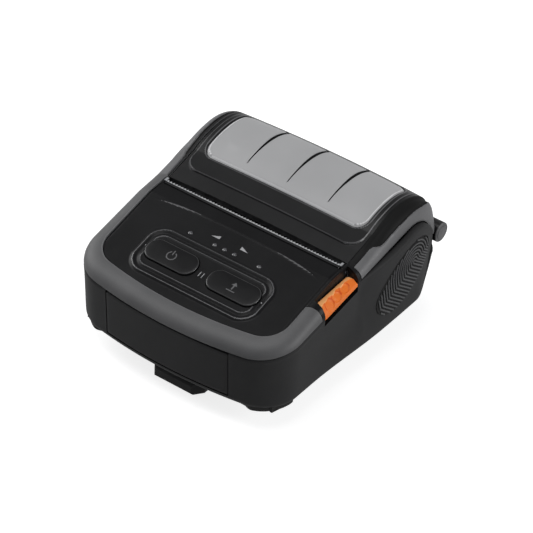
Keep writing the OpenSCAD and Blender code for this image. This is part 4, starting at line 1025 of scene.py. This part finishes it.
def tearBar():
    g = tearSize
    pitch, left, root = g["width"] / g["teeth"], -g["width"] / 2, g["root"]
    z0 = float(panelZ(52.3)) - 0.1
    tooth = [(left, root - 0.05), (left + pitch, root - 0.05), (left + pitch, root), (left + pitch / 2 + 0.04, g["tip"]),
             (left + pitch / 2 - 0.04, g["tip"]), (left, root)]
    # the teeth are ground to an edge from below
    low = [z0 + (g["thick"] - 0.08 if k in (3, 4) else 0.12) for k in range(6)]
    points = [(x, y, z) for (x, y), z in zip(tooth, low)] + [(x, y, z0 + g["thick"]) for x, y in tooth]
    faces = [tuple(range(6))[::-1], tuple(range(6, 12))] + [(k, (k + 1) % 6, (k + 1) % 6 + 6, k + 6) for k in range(6)]
    bar = [rowGraph().run("teeth", points, (), faces, 20, Count=g["teeth"], Step=(pitch / 1000, 0.0, 0.0)),
           boxPiece("strip", left, -left, g["rear"], root, z0 + 0.05, z0 + g["thick"] - 0.02, "black"),
           boxPiece("flange", left, -left, g["rear"], g["rear"] + 0.5, z0 - g["flange"], z0 + 0.1, "black")]
    for x in (left - 0.9, -left - 0.1):
        bar.append(boxPiece("stop", x, x + 1.0, root - 0.2, g["tip"] + 0.9, z0 - 1.2, z0 + 0.75, "sheet"))
    return dress(joined("tearBar", bar, 20), "tear_bar")


# ---- release key: top facet in a lighter orange as a painted highlight, flank with three finger scallops whose rims take a deeper orange as painted shade
releaseSize = {"y0": 34.8, "y1": 54.8, "inner": 44.0, "outer": 48.9, "corner": 1.7, "dish": 0.42, "edge": 0.45,
               "facet": [(0, 0.50), (0.16, 0.47), (0.30, 0.32), (0.42, 0.43), (0.56, 0.22), (0.68, 0.40), (0.82, 0.27),
                         (0.96, 0.40), (1, 0.42)],
               "scallops": [(0.22, 0.68), (0.46, 0.60), (0.72, 0.56)], "finger": (44, 45.6, 40.2, 42.8, 38.35, 42.6),
               "foot": (42.9, 45, 40.2, 42.8, 38.35, 39.8), "skirt": (35.1, 47.1, 0, -5.4, 45.9, 46.4),
               "apron": (47.3, 54.5, 0.2, -2.0, 47.65, 48.1), "pinAt": (45.7, 50, 39.3)}


def releaseKey():
    g = releaseSize
    length, r = g["y1"] - g["y0"], g["corner"]
    v, u = np.meshgrid(np.linspace(0, 1, 141), np.linspace(0, 1, 45), indexing="ij")
    y = g["y0"] + length * v
    ends = np.minimum(v, 1 - v) * length
    inner = g["inner"] + r - np.sqrt(np.maximum(0, r ** 2 - np.maximum(0, r - ends) ** 2))
    x = inner + (g["outer"] - inner) * u
    low = seamZ(y) + 0.3
    top = 45.0 + (y - 35.6) * 0.055
    share = np.interp(v, *np.array(g["facet"]).T)
    fall = np.clip((u - share) / (1 - share), 0, 1)
    z = top - (top - 0.25 - low) * fall ** 1.1 - 0.12 * ease((u - share) / 0.03)
    rim = np.zeros_like(z)
    for at, over in g["scallops"]:
        reach = np.hypot((v - at) * length / 2.6, (u - over) / 0.36)
        z = z - g["dish"] * ease((1 - reach) / 0.35) * ease((1.25 - reach + (u - over)) / 0.6) * (u > share - 0.02)
        ring = ease((1.08 - reach) / 0.1) * ease((reach - 0.82) / 0.1)
        rim = np.maximum(rim, ring * (u - 0.15 < over) * (u > share))
    edge = np.minimum(np.minimum(x - inner, g["outer"] - x), ends)
    z = z - 0.4 * (1 - np.sqrt(np.clip(1 - (1 - np.clip(edge / g["edge"], 0, 1)) ** 2, 0, 1)))
    z = np.maximum(z, low - 0.2)
    # index 1 is the top facet's painted highlight, index 2 the painted shade round the scallops
    index = np.where(middle(rim) > 0.5, 2, np.where(middle(u) < middle(share), 1, 0)).ravel()

    def hanging(name, y0, y1, top, down, x0, x1):
        # a thin wall that hangs from the seam, in the near-black recess finish as painted shade under the key
        return crossPrism(name, [(y0, seamZ(y0) + top), (y1, seamZ(y1) + top), (y1, seamZ(y1) + down), (y0, seamZ(y0) + down)],
                          x0, x1, "recess")
    parts = [shellOfGrids("releaseKey", np.dstack([x, y, z]), np.dstack([x, y, low - 1.1 + 0 * z]),
                          "orange orangeLight orangeDeep", 30, index),
             boxPiece("finger", *g["finger"], "orange"), boxPiece("fingerFoot", *g["foot"], "orange"),
             upright("plunger", [(42.1, 0), (42.1, 1.15), (43.8, 1.15), (43.8, 0)], "orange", *g["pinAt"][:2], 24),
             hanging("skirt", *g["skirt"]), hanging("apron", *g["apron"])]
    return dress(joined("releaseKey", parts, 30), "release_button")


# ---- battery: the bowed middle of the front wall, with the pack behind it
batterySize = {"width": 57.4, "length": 38.0, "low": 13.5, "high": 33.85, "edge": 0.5, "neck": 0.8, "contacts": (-9, -3, 3, 9)}


def batteryPack():
    g = batterySize
    low, high, edge, half = g["low"], g["high"], g["edge"], g["width"] / 2
    heights = [(low, edge), (low + 0.15, 0.15), (low + edge, 0)] + [(z, 0) for z in np.linspace(15, 32.5, 12)]
    heights += [(high - edge, 0), (high - 0.15, 0.15), (high, edge)]
    rings = []
    for z, inset in heights:
        lean = 1.0 * (1 - (z - low) / 20.65)
        bow, side = bench["bow"] - lean, half - inset
        ring = [(x * side / half, lean + inset + bow * (1 - sqrt(1 - (x / bow) ** 2)))
                for x in np.linspace(-half + 0.5, half - 0.5, 50)]
        front, back, neck = ring[-1][1], g["length"] - inset, side - g["neck"]
        flank = [(side - 0.12, front + 0.15), (side, front + 0.5), (side, 9.5), (neck, 9.9), (neck, back)]
        rings.append(np.array([(x, y, z) for x, y in ring + flank + [(-x, y) for x, y in flank[::-1]]]))
    cuts = [boxPiece("contactCut", x - 1.4, x + 1.4, 37.2, 40, 19.5, 27.5, "recess") for x in g["contacts"]]
    return dress(carve(loft("batteryPack", rings, "case recess", 30), *cuts, angle=30), "battery_pack")


tearBar()
releaseKey()
batteryPack()

# ---- feet under the front corners, and the belt clip whose chamfered tip shows below the front wall
footSize = {"inset": 2.3, "width": 5.0, "low": 8.6, "high": 11.4, "edge": 0.6, "from": 27.0, "back": 10.0}


def cornerFeet():
    g = footSize
    feet = []
    for side in (1, -1):
        rings = []
        for z, extra in ((g["low"], g["edge"]), (g["low"] + 0.15, 0.15), (g["low"] + g["edge"], 0), (g["high"], 0)):
            arcs = []
            for k in (g["inset"] + extra, g["inset"] + g["width"] - extra):
                plan = caseOutline(k, g["back"], 8, 24, 16)
                arcs.append(plan[plan[:, 0] > g["from"]][::-1])
            n = min(len(a) for a in arcs)
            outer, inner = arcs[0][-n:], arcs[1][-n:]
            taper = ease(np.minimum(np.linspace(0, 1, n), np.linspace(1, 0, n)) * 5)[:, None] * 0.8 + 0.2
            core = inner + (outer - inner) * 0.35
            outline = np.concatenate([core + (outer - core) * taper, (core + (inner - core) * taper)[::-1]])
            rings.append(np.array([(side * x, y, z) for x, y in outline]))
        feet.append(loft("foot", rings, "foot", 40))
    return dress(joined("cornerFeet", feet, 40), "corner_feet")


clipSize = {"half": 12.0, "tip": 6.9, "back": 103, "chamfer": (3.2, 4.2), "thick": 3.2, "edge": 0.6}


def beltClip():
    g = clipSize
    tip, t, zb, w, back = g["tip"], g["thick"], bench["floor"], g["half"], g["back"]
    flank = [(tip + 0.6, 0), (back, 0), (back, zb), (78, zb), (75, t), (14, t), (12, t + 1.8), (tip + 0.8, t + 1.8),
             (tip, t + 0.9), (tip, 0.6)]
    clip = crossPrism("beltClip", flank, -w, w, "clip")
    cx, cy = g["chamfer"]
    plan = [(-w, tip + cy), (cx - w, tip), (w - cx, tip), (w, tip + cy), (w, back - 2), (w - 2, back), (2 - w, back),
            (-w, back - 2)]
    carve(clip, prism("clipPlan", plan, -1, 12, "clip"), mode="INTERSECT")
    carve(clip, *[screwBore(x, y, -1, 2.6, 11, "recess") for x, y in clipScrewAt])
    return dress(bevelled(clip, g["edge"], 3, 35), "belt_clip")


cornerFeet()
beltClip()
for row in (("portCover", "port_cover", "grip", 0.2), ("dcJack", "dc_jack", "connector", 0.12),
            ("latchLever", "latch_lever", "sheet", 0.12), ("rollTray", "roll_tray", "inner", 0.25),
            ("platenBracket", "platen_bracket", "inner", 0.15), ("heatSink", "heat_sink", "alloy", 0.15),
            ("motor", "stepper_motor", "steel", 0.2), ("mechanismFrame", "mechanism_frame", "sheet", 0.12)):
    softened(*row)
print("outer fittings done")

# ---- springs wound from wire, and screws: turns, radius, height and wire of each
springSize = {"head": (5, 1.9, 3.2, 0.25), "lid": (6, 2.5, 5.4, 0.35), "release": (4, 0.9, 2.6, 0.16)}
coils = coilGraph()


def coilPiece(name, key, at, axis):
    turns, radius, height, wire = springSize[key]
    piece = coils.run(name, ((0, bench["front"], 0),), angle=60, Turns=float(turns), Radius=radius / 1000,
                      Height=height / 1000, Wire=wire / 1000)
    turn = {"z": Matrix.Identity(4), "x": Matrix.Rotation(pi / 2, 4, "Y"), "y": Matrix.Rotation(-pi / 2, 4, "X")}[axis]
    piece.data.transform(Matrix.Translation(toRow(at)) @ turn)
    return piece


headCoils = [coilPiece("coil", "head", (x, 49.75, 42), "y") for x in (20, -20)]
dress(joined("headSprings", headCoils, 60), "head_springs")
lidCoils = [coilPiece("coil", "lid", (x, *hingeAt[1:]), "x") for x in (35.4, -40.8)]
dress(joined("lidSprings", lidCoils, 60), "lid_spring")
release = dress(coilPiece("releaseSpring", "release", releaseSize["pinAt"], "z"), "release_spring")
tuple(toRow((45.7, 50, 39.14)))
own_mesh(release)


screwSize = {"pitch": 0.55, "core": 1.05, "crest": 1.28, "slot": (-1.35, 1.35, -0.3, 0.3)}


def screwSample(head, length):
    g = screwSize
    profile = [(0, 0), (0.05, 1.7), (0.2, 2.2), (0.45, 2.45), (head, 2.5), (head, 1.2)]
    for k in range(int(length / g["pitch"])):
        z = head + 0.2 + k * g["pitch"]
        profile += [(z, g["core"]), (z + 0.24, g["crest"]), (z + 0.3, g["crest"])]
    profile += [(head + length - 0.3, 0.9), (head + length, 0)]
    screw = upright("screwSample", profile, "black recess", 0, bench["front"], 28, 40)
    for a in (0, 90):
        c, s = cos(radians(a)), sin(radians(a))
        flat = [(x * c - y * s, x * s + y * c + bench["front"]) for x, y in flatBox(*g["slot"])]
        carve(screw, prism("slot", flat, -0.5, 0.75, "recess"), angle=40)
    return screw


def screws(name, node, groups):
    parts = []
    for head, length, spots in groups:
        sample = screwSample(head, length)
        parts.append(spreadGraph("black", sample).run(name, spots, angle=40))
        bpy.data.objects.remove(sample)
    return dress(joined(name, parts, 40), node)


caseSpots = [(x, y, 10.1) for x, y in caseScrewAt]
screws("caseScrews", "case_screws", [(1.0, 11.5, caseSpots[:2]), (1.0, 2.7, caseSpots[2:])])
screws("clipScrews", "clip_screws", [(1.8, 9.6, [(x, y, 0.8) for x, y in clipScrewAt])])
print("springs and screws done")

# ---- floor, lights and camera
studio = {"key": 9.0, "top": 5.0, "fill": 5.5, "ambient": 0.12, "floorTone": 0.5, "glow": 0.8, "mirror": 0.4}


def studioFloor():
    mesh = bpy.data.meshes.new("floor")
    mesh.from_pydata([(-6, -6, 0), (6, -6, 0), (6, 6, 0), (-6, 6, 0)], [], [(0, 1, 2, 3)])
    floor = newPiece("studioFloor", mesh)
    s = Shade("floorPaper")
    tone = studio["floorTone"]
    paper = s.node("BsdfDiffuse", {"Color": (tone, tone, tone, 1)})
    glow = s.node("Emission", {"Color": (1, 1, 1, 1), "Strength": studio["glow"]})
    both = s.node("AddShader", {0: paper, 1: glow})
    s.node("OutputMaterial", {"Surface": s.node("MixShader", {0: s.plainlySeen(), 1: paper, 2: both})})
    mesh.materials.append(s.block)


def studioWorld():
    s = Shade("studio", "worlds")
    bpy.context.scene.world = s.block
    soft = s.node("Background", {0: (0.9, 0.93, 1, 1), 1: studio["ambient"]})
    white = s.node("Background", {0: (1, 1, 1, 1), 1: 1.0})
    s.node("OutputWorld", {0: s.node("MixShader", {0: s.plainlySeen(), 1: soft, 2: white})})


def softLight(name, at, aim, size, power):
    light = bpy.data.lights.new(name, "AREA")
    light.shape, light.size, light.size_y, light.energy = "RECTANGLE", size[0], size[1], power
    lamp = newPiece(name, light)
    lamp.location = at
    lamp.rotation_euler = (Vector(aim) - Vector(at)).to_track_quat("-Z", "Y").to_euler()


studioFloor()
studioWorld()
softLight("keyLight", (-1.05, -0.05, 0.65), (0, 0, 0.03), (0.7, 0.9), studio["key"])
softLight("topLight", (-0.1, -0.15, 1.15), (0, 0, 0.03), (0.8, 0.6), studio["top"])
softLight("fillLight", (0.95, 0.25, 0.38), (0, 0.02, 0.03), (0.5, 0.5), studio["fill"])

view = {"place": (0.52868, -0.7385, 0.74857), "turn": 35.32, "rise": 38.47, "roll": 2.6, "focal": 3030.2, "width": 533}
a, e, r = (radians(view[k]) for k in ("turn", "rise", "roll"))
back = Vector((sin(a) * cos(e), -cos(a) * cos(e), sin(e)))
right = Vector((cos(a), sin(a), 0))
up = back.cross(right)
turned = Matrix((cos(r) * right + sin(r) * up, -sin(r) * right + cos(r) * up, back)).transposed()
camera = newPiece("portraitCamera", bpy.data.cameras.new("portraitCamera"))
camera.data.lens, camera.data.sensor_width, camera.data.clip_start = view["focal"] * 36 / view["width"], 36, 0.01
camera.matrix_world = Matrix.Translation(view["place"]) @ turned.to_4x4()
bpy.context.scene.camera = camera
bpy.context.scene.view_settings.view_transform = "Standard"
